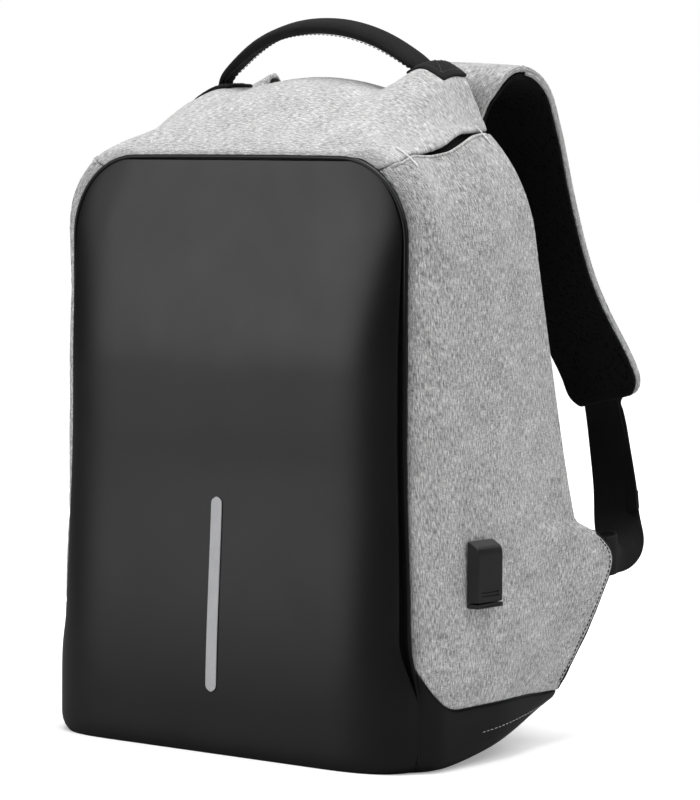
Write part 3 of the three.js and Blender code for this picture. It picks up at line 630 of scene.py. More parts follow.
# ---------- materials ----------
class Nodes:
    """A material with its Principled shader, and short calls for the nodes that feed it."""

    def __init__(self, name, **sockets):
        self.material = bpy.data.materials.new(name)
        self.material.use_nodes = True
        self.tree = self.material.node_tree
        self.shader = self.tree.nodes["Principled BSDF"]
        for key, value in sockets.items():
            self.shader.inputs[key.replace("_", " ")].default_value = value

    def add(self, kind, inputs, **settings):
        made = self.tree.nodes.new(kind)
        for key, value in settings.items():
            setattr(made, key, value)
        for key, value in inputs.items():
            if isinstance(value, bpy.types.NodeSocket):
                self.tree.links.new(value, made.inputs[key])
            else:
                made.inputs[key].default_value = value
        return made.outputs

    def cloth(self, across=1.0, along=1.0):
        """Centimetres across and along the cloth, each multiplied."""
        uv = self.add("ShaderNodeUVMap", {}, uv_map="cloth")["UV"]
        return self.add("ShaderNodeMapping", {"Vector": uv, "Scale": (across, along, 1)})["Vector"]

    def place(self):
        return self.add("ShaderNodeTexCoord", {})["Object"]

    def noise(self, vector, scale=1.0, detail=2.0, rough=0.5):
        inputs = {"Vector": vector, "Scale": scale, "Detail": detail, "Roughness": rough}
        return self.add("ShaderNodeTexNoise", inputs)["Fac"]

    def cells(self, vector, scale=1.0):
        return self.add("ShaderNodeTexVoronoi", {"Vector": vector, "Scale": scale})["Distance"]

    def math(self, operation, a, b=0.0):
        return self.add("ShaderNodeMath", {0: a, 1: b}, operation=operation)["Value"]

    def total(self, *parts):
        """Sum of sockets, each given with its share."""
        value = self.math("MULTIPLY", *parts[0])
        for part in parts[1:]:
            value = self.math("ADD", value, self.math("MULTIPLY", *part))
        return value

    def weave(self, per_cm):
        """Over and under of a plain weave, from -1 to 1."""
        split = self.add("ShaderNodeSeparateXYZ", {"Vector": self.cloth(per_cm * math.pi, per_cm * math.pi)})
        return self.math("MULTIPLY", self.math("SINE", split["X"]), self.math("SINE", split["Y"]))

    def ramp(self, value, *stops):
        outputs = self.add("ShaderNodeValToRGB", {"Fac": value})
        ramp = outputs["Color"].node.color_ramp
        for n, (at, tone) in enumerate(stops):
            stop = ramp.elements[n] if n < 2 else ramp.elements.new(at)
            stop.position = at
            stop.color = (*tone, 1)
        return outputs["Color"]

    def colour(self, socket):
        self.tree.links.new(socket, self.shader.inputs["Base Color"])
        return self

    def rough(self, socket):
        self.tree.links.new(socket, self.shader.inputs["Roughness"])
        return self

    def bump(self, height, strength, distance):
        inputs = {"Height": height, "Strength": strength, "Distance": distance * METRE}
        normal = self.add("ShaderNodeBump", inputs)["Normal"]
        self.tree.links.new(normal, self.shader.inputs["Normal"])
        return self


def grey(value, tint=0.0):
    return (value, value, value * (1 + tint))


def heather_cloth(name, streak_across, streak_along, light, contrast=1.0):
    """Melange cloth: light and dark yarns in short streaks over a plain weave."""
    n = Nodes(name, Roughness=0.93, Specular_IOR_Level=0.18, Sheen_Weight=0.12, Sheen_Roughness=0.5)
    streaks = n.noise(n.cloth(streak_across, streak_along), 1, 3, 0.6)
    fleck = n.noise(n.cloth(24, 24), 1, 1, 0.5)
    cross = n.noise(n.cloth(streak_along * 1.6, streak_across * 0.8), 1, 2, 0.5)
    cloud = n.noise(n.cloth(0.45, 0.45), 1, 2, 0.5)
    weave = n.weave(17)
    tone = n.total((streaks, 0.44), (fleck, 0.34), (cross, 0.14), (cloud, 0.08), (weave, 0.022))
    dark = mix(0.4, 0.06, contrast)
    n.colour(n.ramp(tone, (0.38, grey(dark * light)), (0.62, grey(0.8 * light)),
                    (0.46, grey(mix(0.4, 0.25, contrast) * light)), (0.53, grey(0.45 * light))))
    return n.bump(n.total((weave, 1), (streaks, 0.8)), 0.55, 0.16).material


def coated_cloth(name, tone):
    """Smooth coated cloth over foam: satin, with a very fine grain and faint clouding."""
    n = Nodes(name, Specular_IOR_Level=0.42)
    cloud = n.noise(n.place(), 22, 3, 0.55)
    grain = n.noise(n.place(), 2600, 2, 0.6)
    n.colour(n.ramp(cloud, (0.3, grey(tone * 0.9, 0.05)), (0.7, grey(tone * 1.12, 0.05))))
    n.rough(n.ramp(n.total((grain, 0.3), (cloud, 0.7)), (0.3, grey(0.34)), (0.7, grey(0.4))))
    return n.bump(grain, 0.25, 0.05).material


def plain_cloth(name, tone, per_cm=14, tint=0.03):
    """Plain woven cloth in one dark colour."""
    n = Nodes(name, Roughness=0.9, Specular_IOR_Level=0.15, Sheen_Weight=0.03)
    weave = n.weave(per_cm)
    yarn = n.noise(n.cloth(per_cm, per_cm / 3), 1, 2, 0.6)
    cloud = n.noise(n.cloth(0.5, 0.5), 1, 2, 0.5)
    value = n.total((yarn, 0.6), (cloud, 0.4), (weave, 0.08))
    n.colour(n.ramp(value, (0.3, grey(tone * 0.6, tint)), (0.7, grey(tone * 1.4, tint))))
    return n.bump(weave, 0.6, 0.2).material


def spacer_mesh(name, tone):
    """Knitted spacer mesh: rows of round holes in a thick, soft net."""
    n = Nodes(name, Roughness=0.95, Specular_IOR_Level=0.1, Sheen_Weight=0.02)
    holes = n.cells(n.cloth(3.6, 3.0), 1)
    yarn = n.noise(n.cloth(22, 22), 1, 2, 0.6)
    open_hole = n.ramp(holes, (0.2, grey(0.0)), (0.42, grey(1.0)))
    value = n.math("MULTIPLY", open_hole, n.math("ADD", n.math("MULTIPLY", yarn, 0.6), 0.5))
    n.colour(n.ramp(value, (0.1, grey(tone * 0.25)), (0.9, grey(tone * 1.3))))
    return n.bump(n.total((open_hole, 1), (yarn, 0.3)), 0.8, 0.7).material


def webbing_cloth(name, tone):
    """Ribbed webbing: ribs along the band with a tight twill across them."""
    n = Nodes(name, Roughness=0.78, Specular_IOR_Level=0.2, Sheen_Weight=0.03)
    split = n.add("ShaderNodeSeparateXYZ", {"Vector": n.cloth(6 * math.pi, 18 * math.pi)})
    ribs = n.math("ABSOLUTE", n.math("SINE", split["X"]))
    picks = n.math("SINE", n.math("ADD", split["Y"], split["X"]))
    yarn = n.noise(n.cloth(12, 30), 1, 2, 0.6)
    value = n.total((ribs, 0.6), (picks, 0.12), (yarn, 0.3))
    n.colour(n.ramp(value, (0.2, grey(tone * 0.5)), (0.9, grey(tone * 1.5))))
    return n.bump(value, 0.7, 0.25).material


def moulded_plastic(name, tone, rough=0.36):
    """Injection-moulded plastic with a fine spark-eroded skin."""
    n = Nodes(name, Specular_IOR_Level=0.5)
    grain = n.noise(n.place(), 3200, 2, 0.5)
    wear = n.noise(n.place(), 90, 3, 0.6)
    n.colour(n.ramp(wear, (0.3, grey(tone * 0.85)), (0.75, grey(tone * 1.25))))
    n.rough(n.ramp(wear, (0.3, grey(rough)), (0.75, grey(rough + 0.1))))
    return n.bump(grain, 0.3, 0.04).material


def reflective_tape(name):
    """Retroreflective tape: silvery, with a fine bead texture."""
    n = Nodes(name, Specular_IOR_Level=0.5)
    beads = n.cells(n.place(), 1900)
    cloud = n.noise(n.place(), 60, 2, 0.5)
    n.colour(n.ramp(n.total((beads, 0.5), (cloud, 0.5)), (0.25, grey(0.31, 0.03)), (0.7, grey(0.4, 0.03))))
    n.rough(n.ramp(beads, (0.2, grey(0.4)), (0.7, grey(0.55))))
    return n.bump(beads, 0.2, 0.06).material


def metal(name, tone, rough):
    """Plated or enamelled metal with faint rubbed patches."""
    n = Nodes(name, Metallic=1.0)
    rub = n.noise(n.place(), 300, 3, 0.6)
    n.colour(n.ramp(rub, (0.3, grey(tone * 0.85)), (0.7, grey(tone * 1.1))))
    n.rough(n.ramp(rub, (0.3, grey(rough)), (0.7, grey(rough + 0.12))))
    return n.bump(rub, 0.1, 0.03).material


def foam_board(name):
    """Stiff foam sheet: matt, finely pitted."""
    n = Nodes(name, Roughness=0.85, Specular_IOR_Level=0.2)
    pits = n.cells(n.place(), 700)
    n.colour(n.ramp(pits, (0.1, grey(0.05)), (0.6, grey(0.1))))
    return n.bump(pits, 0.4, 0.12).material


def spun_thread(name, tone):
    """Sewing thread with a fine twist."""
    n = Nodes(name, Roughness=0.7, Sheen_Weight=0.2)
    twist = n.noise(n.place(), 4200, 1, 0.5)
    n.colour(n.ramp(twist, (0.35, grey(tone * 0.75)), (0.65, grey(tone * 1.1))))
    return n.bump(twist, 0.3, 0.05).material


GREY_SIDE = heather_cloth("heather_side", 11, 2.2, 0.95)
# The top's copy of the heather is painted lighter than the side's (1.08 against 0.95), as light falling on
# the top.
GREY_TOP = heather_cloth("heather_top", 2.4, 12, 1.08, 0.75)
BLACK_SHELL = coated_cloth("coated_black", 0.0036)
BLACK_CLOTH = plain_cloth("black_cloth", 0.0095)
LINING = plain_cloth("lining_cloth", 0.075, 12)
SPACER = spacer_mesh("spacer_mesh", 0.0055)
PAD_MESH = spacer_mesh("pad_mesh", 0.022)
WEBBING = webbing_cloth("webbing", 0.006)
PLASTIC = moulded_plastic("black_plastic", 0.014)
WHITE_PLASTIC = moulded_plastic("white_plastic", 0.7, 0.3)
TAPE = reflective_tape("reflective_tape")
STEEL = metal("plated_steel", 0.62, 0.22)
DARK_METAL = metal("black_enamel", 0.06, 0.35)
BOARD = foam_board("foam_board")
THREAD_BLACK = spun_thread("black_thread", 0.012)
THREAD_GREY = spun_thread("grey_thread", 0.3)
THREAD_LIGHT = spun_thread("light_thread", 0.8)
ZIP_COIL = moulded_plastic("zip_coil", 0.02, 0.4)


def declare_sheet(piece, grid, held, *rests_on):
    """Works out the width, length and area of a sheet of cloth from its grid; nothing uses them."""
    width = np.linalg.norm(np.diff(grid, axis=0), axis=2).sum(axis=0).max() * METRE
    length = np.linalg.norm(np.diff(grid, axis=1), axis=2).sum(axis=1).max() * METRE
    right, up = grid[1:, :-1] - grid[:-1, :-1], grid[:-1, 1:] - grid[:-1, :-1]
    area = np.linalg.norm(np.cross(right, up), axis=2).sum() * METRE**2


def finish_piece(piece, body, slot, *nodes):
    """The piece rides on a body and stands for CAD nodes, which are hidden. slot is not used."""
    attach(piece, body)
    if nodes:
        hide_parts(*nodes)
    return piece


def backing(name, grid, thick):
    """Hidden black cloth on the right of the body, and its mirror image on the left."""
    for side, faces in (("right", grid), ("left", mirrored(grid))):
        finish_piece(shell(name + side, faces, thick, [BLACK_CLOTH]), "bag_body", "black_fabric")


def edging(name, points, radius, body="bag_body", sides=10):
    """A round black binding along an edge."""
    finish_piece(cord_tube(name, points, radius, [BLACK_CLOTH], sides), body, "black_fabric")


# ---------- black front and boot ----------
RIM = WALL / 2  # how far a shell's rounded edge stands out past its grid
CORNER_FILL_OUT = 6.8  # the front's edge moves out by this much where it closes onto the boot
FRONT_INSET = 3.0
FRONT_LOW = 0.8
CORNER_X = 86  # where the rounded lower corner of the front begins
CORNER_Y = -50
CORNER_WIDE = 62.5
CORNER_POWER = 2.6  # the lower corner is a superellipse, seen from above
FRONT_STEP = 1.8  # the front's edge stands this far before the seam
ALLOWANCE = 2.6  # radius of the filler cord behind the front seam
ALLOWANCE_IN = 3.4


def front_point(x, z):
    """A point of the front's outer face. x is given before the lower corners are filled out."""
    filled = abs(x) + CORNER_FILL_OUT * corner_fill(z) * clamp01(abs(x) / front_half(z)) ** 5
    y = SEAM_Y - FRONT_STEP + (front_centre_y(z) - SEAM_Y + FRONT_STEP) * dome(x, z)
    across = clamp01((filled - CORNER_X) / CORNER_WIDE)
    rounded = (1 - across**CORNER_POWER) ** (1 / CORNER_POWER)
    low = CORNER_Y + (front_centre_y(z) - CORNER_Y) * rounded * mix(0.84, 1, dome(0, z))
    under = BASE_R - math.sqrt(BASE_R**2 - max(0, BASE_R - z) ** 2)
    filled -= 0.8 * under * across**6
    return [math.copysign(filled, x), mix(y, low + 0.6 * under * across**3, corner_fill(z)), z]


def front_cover():
    def place(u, v):
        z = mix(FRONT_LOW, SEAM_TOP - FRONT_INSET, math.sin(math.pi / 2 * v) ** 1.15)
        return front_point(-math.cos(math.pi * u) * (front_half(z) - FRONT_INSET * (1 - corner_fill(z))), z)

    piece = shell("front_cover", grid_of(110, 120, place), 3.0, [BLACK_SHELL, LINING])
    finish_piece(piece, "bag_body", "shell", "front_shell")


def boot_point(t, v):
    high = boot_seam(t) - SEAM / 2 - RIM * (1 - corner_fill(70) * 0.2)
    y = depth_y(t, high)
    floor = edge_lift(y)
    arc = BASE_R * math.pi / 2
    along = v * (arc + high - floor - BASE_R)
    if along < arc:
        angle = along / BASE_R - math.pi / 2
        x = body_half(t, floor) - BASE_R + BASE_R * math.cos(angle)
        z = floor + BASE_R + BASE_R * math.sin(angle)
    else:
        z = floor + BASE_R + along - arc
        x = body_half(t, z)
    return [x, y - corner_forward(t, z), z]


def boots():
    right = grid_of(64, 40, lambda u, v: boot_point(along_depth(u), v))
    for side, grid in (("right", right), ("left", mirrored(right))):
        piece = shell("boot_" + side, grid, WALL, [BLACK_SHELL, LINING])
        finish_piece(piece, "bag_body", "shell", "boot_side_" + side)
        sew("boot_stitches_" + side, grid, line((0.55, 0.6), (0.975, 0.6)), THREAD_GREY, "bag_body",
            pitch=4.2, length=2.6, radius=0.3)


def base():
    def place(u, v):
        t = along_depth(v)
        y = depth_y(t, BOOT_Z)
        x = (2 * u - 1) * (body_half(t, edge_lift(y)) - BASE_R + 0.6)
        belly = (front_centre_y(0) - SEAM_Y) * 0.8 * dome(1.06 * x, 6) if v < 1e-6 else 0
        return [x, y + belly, base_z(x, y) + 0.2]

    piece = shell("base_cover", grid_of(60, 50, place), WALL, [BLACK_SHELL, LINING], rim=3)
    finish_piece(piece, "bag_body", "shell", "base_panel")


def seam_piping():
    """Cord piping in the valley of the front seam. It sinks in where the lower corners close."""
    right = []
    for i in range(41):
        z = mix(6, SEAM_TOP - SEAM_R, i / 40)
        fill = corner_fill(z)
        right.append((body_half(0, z) + mix(2.4, -0.4, fill), SEAM_Y - 2.4 + 2.2 * fill, z))
    for i in range(1, 13):
        angle = math.pi / 2 * i / 12
        x = SEAM_HALF - SEAM_R + (SEAM_R - 0.3) * math.cos(angle)
        right.append((x, SEAM_Y - 2.4, SEAM_TOP - SEAM_R + (SEAM_R - 1.0) * math.sin(angle)))
    left = [(-x, y, z) for x, y, z in reversed(right)]
    route = Path(right + left, 6).points
    piece = cord_tube("front_seam_piping", route, 1.35, [BLACK_SHELL])
    finish_piece(piece, "bag_body", "shell", "front_piping")
    inside = []
    for x, y, z in route:
        inwards = math.copysign(ALLOWANCE, x) * min(1, abs(x) / 80)
        inside.append((x - inwards, y + ALLOWANCE_IN, min(z, SEAM_TOP - ALLOWANCE_IN)))
    edging("front_seam_allowance", inside, ALLOWANCE, sides=8)


def corner_backing():
    """Cloth behind the front's side seams, from the back of the front to the inside of the side."""
    def place(u, v):
        z = mix(5, 345, v)
        front = Vector(front_point(SEAM_HALF - 20, z)) + Vector((0, 4.2, 0))
        side = Vector((body_half(0.14, z) - 4.6, depth_y(0.14, z), z))
        return front.lerp(side, u)

    backing("front_seam_backing_", grid_of(6, 60, place), 1.0)


def strip():
    """Reflective strip down the front's middle, with rounded ends."""
    low, high = box_mm("reflective_strip")
    half = (high.x - low.x) / 2

    def place(u, v):
        z = mix(low.z, high.z, (1 - math.cos(math.pi * v)) / 2)
        end = max(0.12, min(z - low.z, high.z - z, half))
        wide = math.sqrt(half**2 - (half - end) ** 2)
        x = (2 * u - 1) * wide
        return Vector(front_point(x, z)) + Vector((0, -0.9, 0))

    piece = shell("reflective_tape_strip", grid_of(8, 90, place), 0.7, [TAPE])
    finish_piece(piece, "bag_body", "reflector", "reflective_strip")


# ---------- grey body ----------
USB_LOW, USB_HIGH = box_mm("usb_housing")
USB_CENTRE = (USB_LOW + USB_HIGH) / 2
WING_EDGE = (  # height and depth of the wing's rear edge
    (30, 82), (44, 92), (58, 104), (69, 113), (80, 118.5), (96, 126), (105, 132.5), (112, 136), (118, 136.3),
    (124, 133), (131, 123), (142, 106), (152, 98),
)
WING_TIP_X = 152.2
WING_PIPED = 0.275  # share of the side's rear edge that is piped and stitched
SLIT_GAPE = 3.2


def wing_extra(z):
    """How far the side reaches past the back plane, to anchor the strap webbing."""
    heights, reaches = zip(*WING_EDGE)
    around = [np.interp(z + d, heights, reaches) for d in (-3, 0, 3)]
    return max(0, sum(around) / 3 - back_y(z)) * smooth(34, 44, z) * (1 - smooth(138, 150, z))


def slit_open(t):
    """How far the pocket mouth stands open, from 0 at its ends to 1 in its middle."""
    return math.sin(math.pi * clamp01((t - 0.02) / 0.92) ** 1.35) ** 1.5


def side_place(gape):
    """Places on the right side panel, whose top edge hangs open by gape at the pocket mouth."""
    def place(u, v):
        t = along_depth(u)
        low = boot_seam(t) + RIM / 2
        x, y, z = side_point(t, low, v * (side_length(t, low) - RIM - gape * slit_open(t)))
        extra = wing_extra(z)
        pull = smooth(0.55, 1, u) ** 1.6
        tip = mix(x, WING_TIP_X - 5 * smooth(100, 58, z), smooth(0, 12, extra))
        return [mix(x, max(x, tip), pull), y - corner_forward(t, z) + extra * pull, z]

    return place


def side_panels():
    rest = {"right": grid_of(72, 110, side_place(SLIT_GAPE)), "left": grid_of(72, 110, side_place(0))}
    for side, grid in rest.items():
        held = [(USB_CENTRE, 34)] if side == "right" else []
        grid = tensioned(grid, pressure=0.55, grow=0.004, cap=3.0, held=held)
        if side == "left":
            grid = mirrored(grid)
        piece = shell("side_cover_" + side, grid, WALL, [GREY_SIDE, LINING])
        finish_piece(piece, "bag_body", "grey_fabric", "side_panel_" + side, "wing_" + side)
        edge = [(0.988, mix(0.012, 0.262, i / 60)) for i in range(61)]
        sew("wing_stitches_" + side, grid, edge, THREAD_BLACK, "bag_body", pitch=3.2, length=2.2, radius=0.42)
        side_hem(side, grid)
        normals = grid_normals(grid)
        ups = [mix(0.0, WING_PIPED, i / 80) for i in range(81)]
        lip = [on_grid(grid, 1, up) - on_grid(normals, 1, up) * RIM for up in ups]
        edging("wing_piping_" + side, lip, 1.9)


def side_hem(side, grid):
    """The side's folded top edge, a fine light line under the pocket mouth."""
    route = [on_grid(grid, mix(0.08, 0.97, i / 80), 1.0) for i in range(81)]
    # The hem takes the top's lighter copy of the heather, painted light along its lip.
    piece = cord_tube("side_hem_" + side, route, 1.0, [GREY_TOP], 8)
    finish_piece(piece, "bag_body", "grey_fabric")


def top_place(u, v):
    """A point of the top, from left to right and from front to back."""
    t = along_depth(v)
    radius = body_radius(t)
    flat = body_half(t, 340) - radius
    slack = SLIT_GAPE * 0.35 * slit_open(t) if u > 0.5 else 0
    reach = (2 * u - 1) * (flat + radius * (math.pi / 2 - split_angle(t)) - RIM - SEAM / 2 - slack)
    angle = max(abs(reach) - flat, 0) / radius
    x = math.copysign(flat + radius * math.sin(angle), reach) if angle > 0 else reach
    z = top_height(t, x)
    lift = 1.6 * slack * smooth(0.8, 1, u)
    return [x + math.copysign(lift * math.sin(angle), x), depth_y(t, z), z + lift * math.cos(angle)]


def top_panel():
    grid = grid_of(120, 80, top_place)
    feet = [sum(box_mm("handle_foot_" + side), Vector()) / 2 for side in ("right", "left")]
    grid = tensioned(grid, pressure=0.4, grow=0.004, cap=2.2, held=[(foot, 24) for foot in feet])
    piece = shell("top_cover", grid, WALL, [GREY_TOP, LINING])
    finish_piece(piece, "bag_body", "grey_fabric", "top_panel")


def pocket_mouth():
    """A black sheet behind the open slit, painted shade for the dark inside the pocket mouth, and the bar
    tacks at its two ends.
    """
    def place(u, v):
        t = mix(0.03, 0.97, u)
        low = boot_seam(t)
        return side_point(t, low, side_length(t, low) + mix(-13, 11, v))

    grid = grid_of(70, 12, place)
    normals = grid_normals(grid)
    # Painted shade: a black cloth sheet 5.2 mm inside the slit, standing in for the shade there.
    piece = shell("slit_shade_sheet", grid - normals * 5.2, 1.0, [BLACK_CLOTH])
    finish_piece(piece, "bag_body", "black_fabric")
    declare_sheet(piece, grid, "hung", "side_cover_right")
    for name, t in (("front", 0.1), ("rear", 0.9)):
        low = boot_seam(t)
        tack = []
        for i in range(25):
            along = side_length(t, low) + 11 * (1 - i / 12)
            tack.append(side_point(t + 0.003 * (i % 2), low, along))
        normal = np.array([1, 0, 1]) / math.sqrt(2)
        points = np.array(tack) + normal * 0.9
        thread("slit_tack_" + name, points, normal, THREAD_LIGHT, "bag_body",
               pitch=1.5, length=2.4, radius=0.5)


def boot_seam_backing():
    """Seam allowance behind the line where the side is sewn to the boot."""
    def place(u, v):
        t = 0.98 * along_depth(u)
        z = boot_seam(t) + mix(-5, 10, v)
        return [body_half(t, z), depth_y(t, z), z]

    grid = grid_of(60, 8, place)
    backing("boot_seam_backing_", grid - grid_normals(grid) * 4.0, 1.0)


def lower_back():
    """Plain black panel under the zip, between the two wings."""
    def place(u, v):
        z = mix(BASE_REAR_Z + 6, 112, v)
        x = (2 * u - 1) * (body_half(1, z) - WALL - 1.8)
        return [x, back_y(z) - 0.4 + 1.2 * math.sin(math.pi * v) * (1 - (2 * u - 1) ** 4), z]

    grid = grid_of(60, 30, place)
    piece = shell("lower_back_cover", grid, 3.0, [BLACK_CLOTH, LINING])
    finish_piece(piece, "bag_body", "black_fabric", "lower_back_panel")
    sew("lower_back_stitches", grid, line((0.03, 0.93), (0.97, 0.93), 90), THREAD_BLACK, "bag_body")


# ---------- zip ----------
ZIP_LOW = 2
TAPE_AT = WALL + 2.4
CHAIN_AT = TAPE_AT + 6.4
CHAIN_WIDE = 2.6
DOOR_CHAIN_AT = CHAIN_AT + CHAIN_WIDE + 0.6
DOOR_TAPE_AT = DOOR_CHAIN_AT + CHAIN_WIDE + 0.4
DOOR_AT = DOOR_TAPE_AT + 4.4
TOOTH_PITCH = 2.0
TOOTH_PROFILE = ((-2.3, 0.5), (-1.7, 1), (1.6, 1), (2.2, 0.55))  # place across the zip, and size
TOOTH_SIDES = 8
TOOTH_HALF = 0.62
TOOTH_TALL = 0.8
ZIP_TAPE_THICK = 0.9
ZIP_TAPE_OUT = 0.2


def flat_band(name, outer, width):
    """A flat band of cloth that follows the zip round the back."""
    edges = [arch_points(outer + width * k / 4, ZIP_LOW, 4) for k in range(5)]
    count = min(len(e) for e in edges)
    grid = []
    for edge in edges:
        route = Path([on_back(x, up, ZIP_TAPE_OUT) for x, up in edge], 2)
        grid.append([route.at(i / (count - 1)) for i in range(count)])
    grid = np.array(grid).transpose(1, 0, 2)
    normals = np.broadcast_to(OUT_BACK, grid.shape)
    return shell(name, grid, ZIP_TAPE_THICK, [BLACK_CLOTH], normals=normals), grid


def zip_teeth(name, inset, material, shift):
    """Coil teeth: small rounded blocks across the zip, one pitch apart."""
    route = Path([on_back(x, up, 0.9) for x, up in arch_points(inset, ZIP_LOW, 6)], 4)
    verts, faces = [], []
    for n in range(int(route.length // TOOTH_PITCH) - 1):
        k = (n + 0.5 + shift) * TOOTH_PITCH / route.length
        ahead = route.tangent(k)
        across = np.cross(ahead, OUT_BACK)
        rings = []
        for place, size in TOOTH_PROFILE:
            ring = []
            for a in range(TOOTH_SIDES):
                angle = 2 * math.pi * a / TOOTH_SIDES
                p = route.at(k) + across * place + ahead * TOOTH_HALF * size * math.cos(angle)
                ring.append(p + OUT_BACK * TOOTH_TALL * size * math.sin(angle))
            rings.append(ring)
        add_bead(verts, faces, rings)
    return mesh_object(name, verts, faces, [material])


def zips():
    """Two tapes and two rows of teeth: one on the body and one on the back panel."""
    tape, grid = flat_band("body_zip_tape", 2.6, 10.6)
    finish_piece(tape, "bag_body", "black_fabric", "zip_tape_body")
    sew("body_zip_stitches", grid, line((0.004, 0.5), (0.996, 0.5), 240), THREAD_BLACK, "bag_body")
    teeth = zip_teeth("body_zip_coil", CHAIN_AT + 1.5, ZIP_COIL, 0)
    finish_piece(teeth, "bag_body", "zip_teeth", "zip_chain_body")
    tape = flat_band("door_zip_tape", DOOR_CHAIN_AT + 1, 10.4)[0]
    finish_piece(tape, "back_door", "black_fabric", "zip_tape_door")
    teeth = zip_teeth("door_zip_coil", DOOR_CHAIN_AT + 1.1, ZIP_COIL, 0.5)
    finish_piece(teeth, "back_door", "zip_teeth", "zip_chain_door")


# ---------- back panel ----------
DOOR_LOW = -20


def arch_half(inset, up):
    """Half width of the arch-shaped back panel at a height."""
    radius = BODY_R - inset
    above = clamp01((up - (BACK_TOP - inset - radius)) / radius) * radius
    return BACK_HALF - inset - radius + math.sqrt(max(0, radius**2 - above**2))


def back_panel():
    """The padded door that opens, inside the zip."""
    def place(u, v):
        up = mix(DOOR_LOW, BACK_TOP - DOOR_AT, math.sin(math.pi / 2 * v) ** 1.15)
        x = -math.cos(math.pi * u) * arch_half(DOOR_AT, up)
        edge = min(arch_half(DOOR_AT, up) - abs(x), BACK_TOP - DOOR_AT - up, up - DOOR_LOW)
        return on_back(x, up, 0.5 + 1.1 * smooth(0, 9, edge))

    grid = grid_of(80, 90, place)
    piece = shell("back_cover", grid, 4.0, [BLACK_CLOTH, LINING])
    finish_piece(piece, "back_door", "black_fabric", "back_panel")


def door_fold():
    """Slack cloth, laid in tucks, between the lower back and the back panel."""
    low = Vector((0, back_y(112) - 1.5, 111))
    high = Vector(on_back(0, DOOR_LOW + 2, -0.6))

    def place(u, v):
        p = low.lerp(high, v)
        tuck = 3.2 * math.sin(3 * math.pi * v) * math.sin(math.pi * v)
        x = (2 * u - 1) * mix(body_half(1, 112) - WALL - 3, arch_half(DOOR_AT, DOOR_LOW) - 1, v)
        return [x, p.y - tuck * 0.9, p.z + tuck * 0.3]

    grid = grid_of(50, 30, place)
    piece = shell("door_fold", grid, 0.9, [BLACK_CLOTH])
    declare_sheet(piece, grid, "folded", "lower_back_cover")
    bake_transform(piece)


def zip_end_corners():
    """Cloth under the zip's two lower ends, which closes the back beside the fold."""
    def place(u, v):
        up = mix(DOOR_LOW - 7, ZIP_LOW + 4, v)
        z = on_back(0, up, 0)[2]
        x = mix(arch_half(DOOR_AT, up) + 0.5, body_half(1, z) - 0.8, u)
        return on_back(x, up, -0.9)

    backing("zip_end_corner_", grid_of(14, 18, place), 1.2)


def outline(half, low, high, radius, count):
    """Points (x, up) of a rounded rectangle, the same number whatever its size."""
    points = []
    for turn, (cx, cy) in enumerate(((1, 1), (-1, 1), (-1, -1), (1, -1))):
        for i in range(count):
            angle = math.pi / 2 * (turn + i / count)
            x = cx * (half - radius) + radius * math.cos(angle)
            points.append((x, (low + high) / 2 + cy * ((high - low) / 2 - radius) + radius * math.sin(angle)))
    return points


PAD_OUT = 2.0  # where the foam pads start, out of the back plane
PAD_VOXEL = 3.4
CHANNEL_AT = 9  # a sewn channel runs round each pad, this far in from its edge


def foam_pad(name, low, high, half, thick, radius):
    """A foam pad under spacer mesh: swollen by a cloth simulation, then sewn down along a channel."""
    profile = ((12, 0), (3, 0), (0.8, 1.2), (0, 0.3 * thick), (0.4, 0.6 * thick), (2.6, 0.85 * thick),
               (8, 0.95 * thick), (24, thick))
    rings = []
    for inset, height in profile:
        ring = outline(half - inset, low + inset, high - inset, max(2, radius - inset), 8)
        rings.append([on_back(x, up, PAD_OUT + height) for x, up in ring])
    piece = tube(name, rings, [PAD_MESH])
    remesh = piece.modifiers.new("voxels", "REMESH")
    remesh.mode = "VOXEL"
    remesh.voxel_size = PAD_VOXEL * METRE
    remesh.use_smooth_shade = True
    bake_modifiers(piece)
    rest = points_of(piece)
    moved = run_cloth(piece, 4.0, tension_stiffness=15, compression_stiffness=15, bending_stiffness=1)
    rest = limited(rest, moved / METRE, 2.4)
    out = (rest - on_back(0, 0, 0)) @ OUT_BACK
    set_points(piece, rest + np.outer(np.clip(PAD_OUT - out, 0, None), OUT_BACK))
    smoothing = piece.modifiers.new("finer", "SUBSURF")
    smoothing.levels = smoothing.render_levels = 1
    bake_modifiers(piece)
    sew_channel(piece, low, high, half, radius)
    return piece


def sew_channel(piece, low, high, half, radius):
    """Presses the sewn channel into a pad and lays its cloth coordinates on it."""
    points = points_of(piece)
    local = points - on_back(0, 0, 0)
    up = local @ UP_BACK
    out = local @ OUT_BACK
    across = np.abs(local[:, 0]) - (half - radius)
    along = np.abs(up - (low + high) / 2) - ((high - low) / 2 - radius)
    edge = radius - np.hypot(np.clip(across, 0, None), np.clip(along, 0, None))
    edge = np.minimum(edge, radius - np.maximum(across, along))
    dip = 2.2 * np.exp(-(((edge - CHANNEL_AT) / 1.7) ** 2)) * (out > PAD_OUT + 3)
    set_points(piece, points - np.outer(dip, OUT_BACK))
    lay_cloth(piece.data, np.stack([local[:, 0], up + out], axis=1) / 10)


def points_of(piece):
    points = np.zeros(len(piece.data.vertices) * 3, np.float32)
    piece.data.vertices.foreach_get("co", points)
    return points.reshape(-1, 3).astype(float) / METRE


def set_points(piece, points):
    piece.data.vertices.foreach_set("co", (np.asarray(points) * METRE).astype(np.float32).ravel())
    piece.data.update()


def bake_modifiers(piece):
    """Replaces the mesh by what its modifiers make of it."""
    graph = bpy.context.evaluated_depsgraph_get()
    made = bpy.data.meshes.new_from_object(piece.evaluated_get(graph))
    piece.modifiers.clear()
    piece.data = made
    made.shade_smooth()


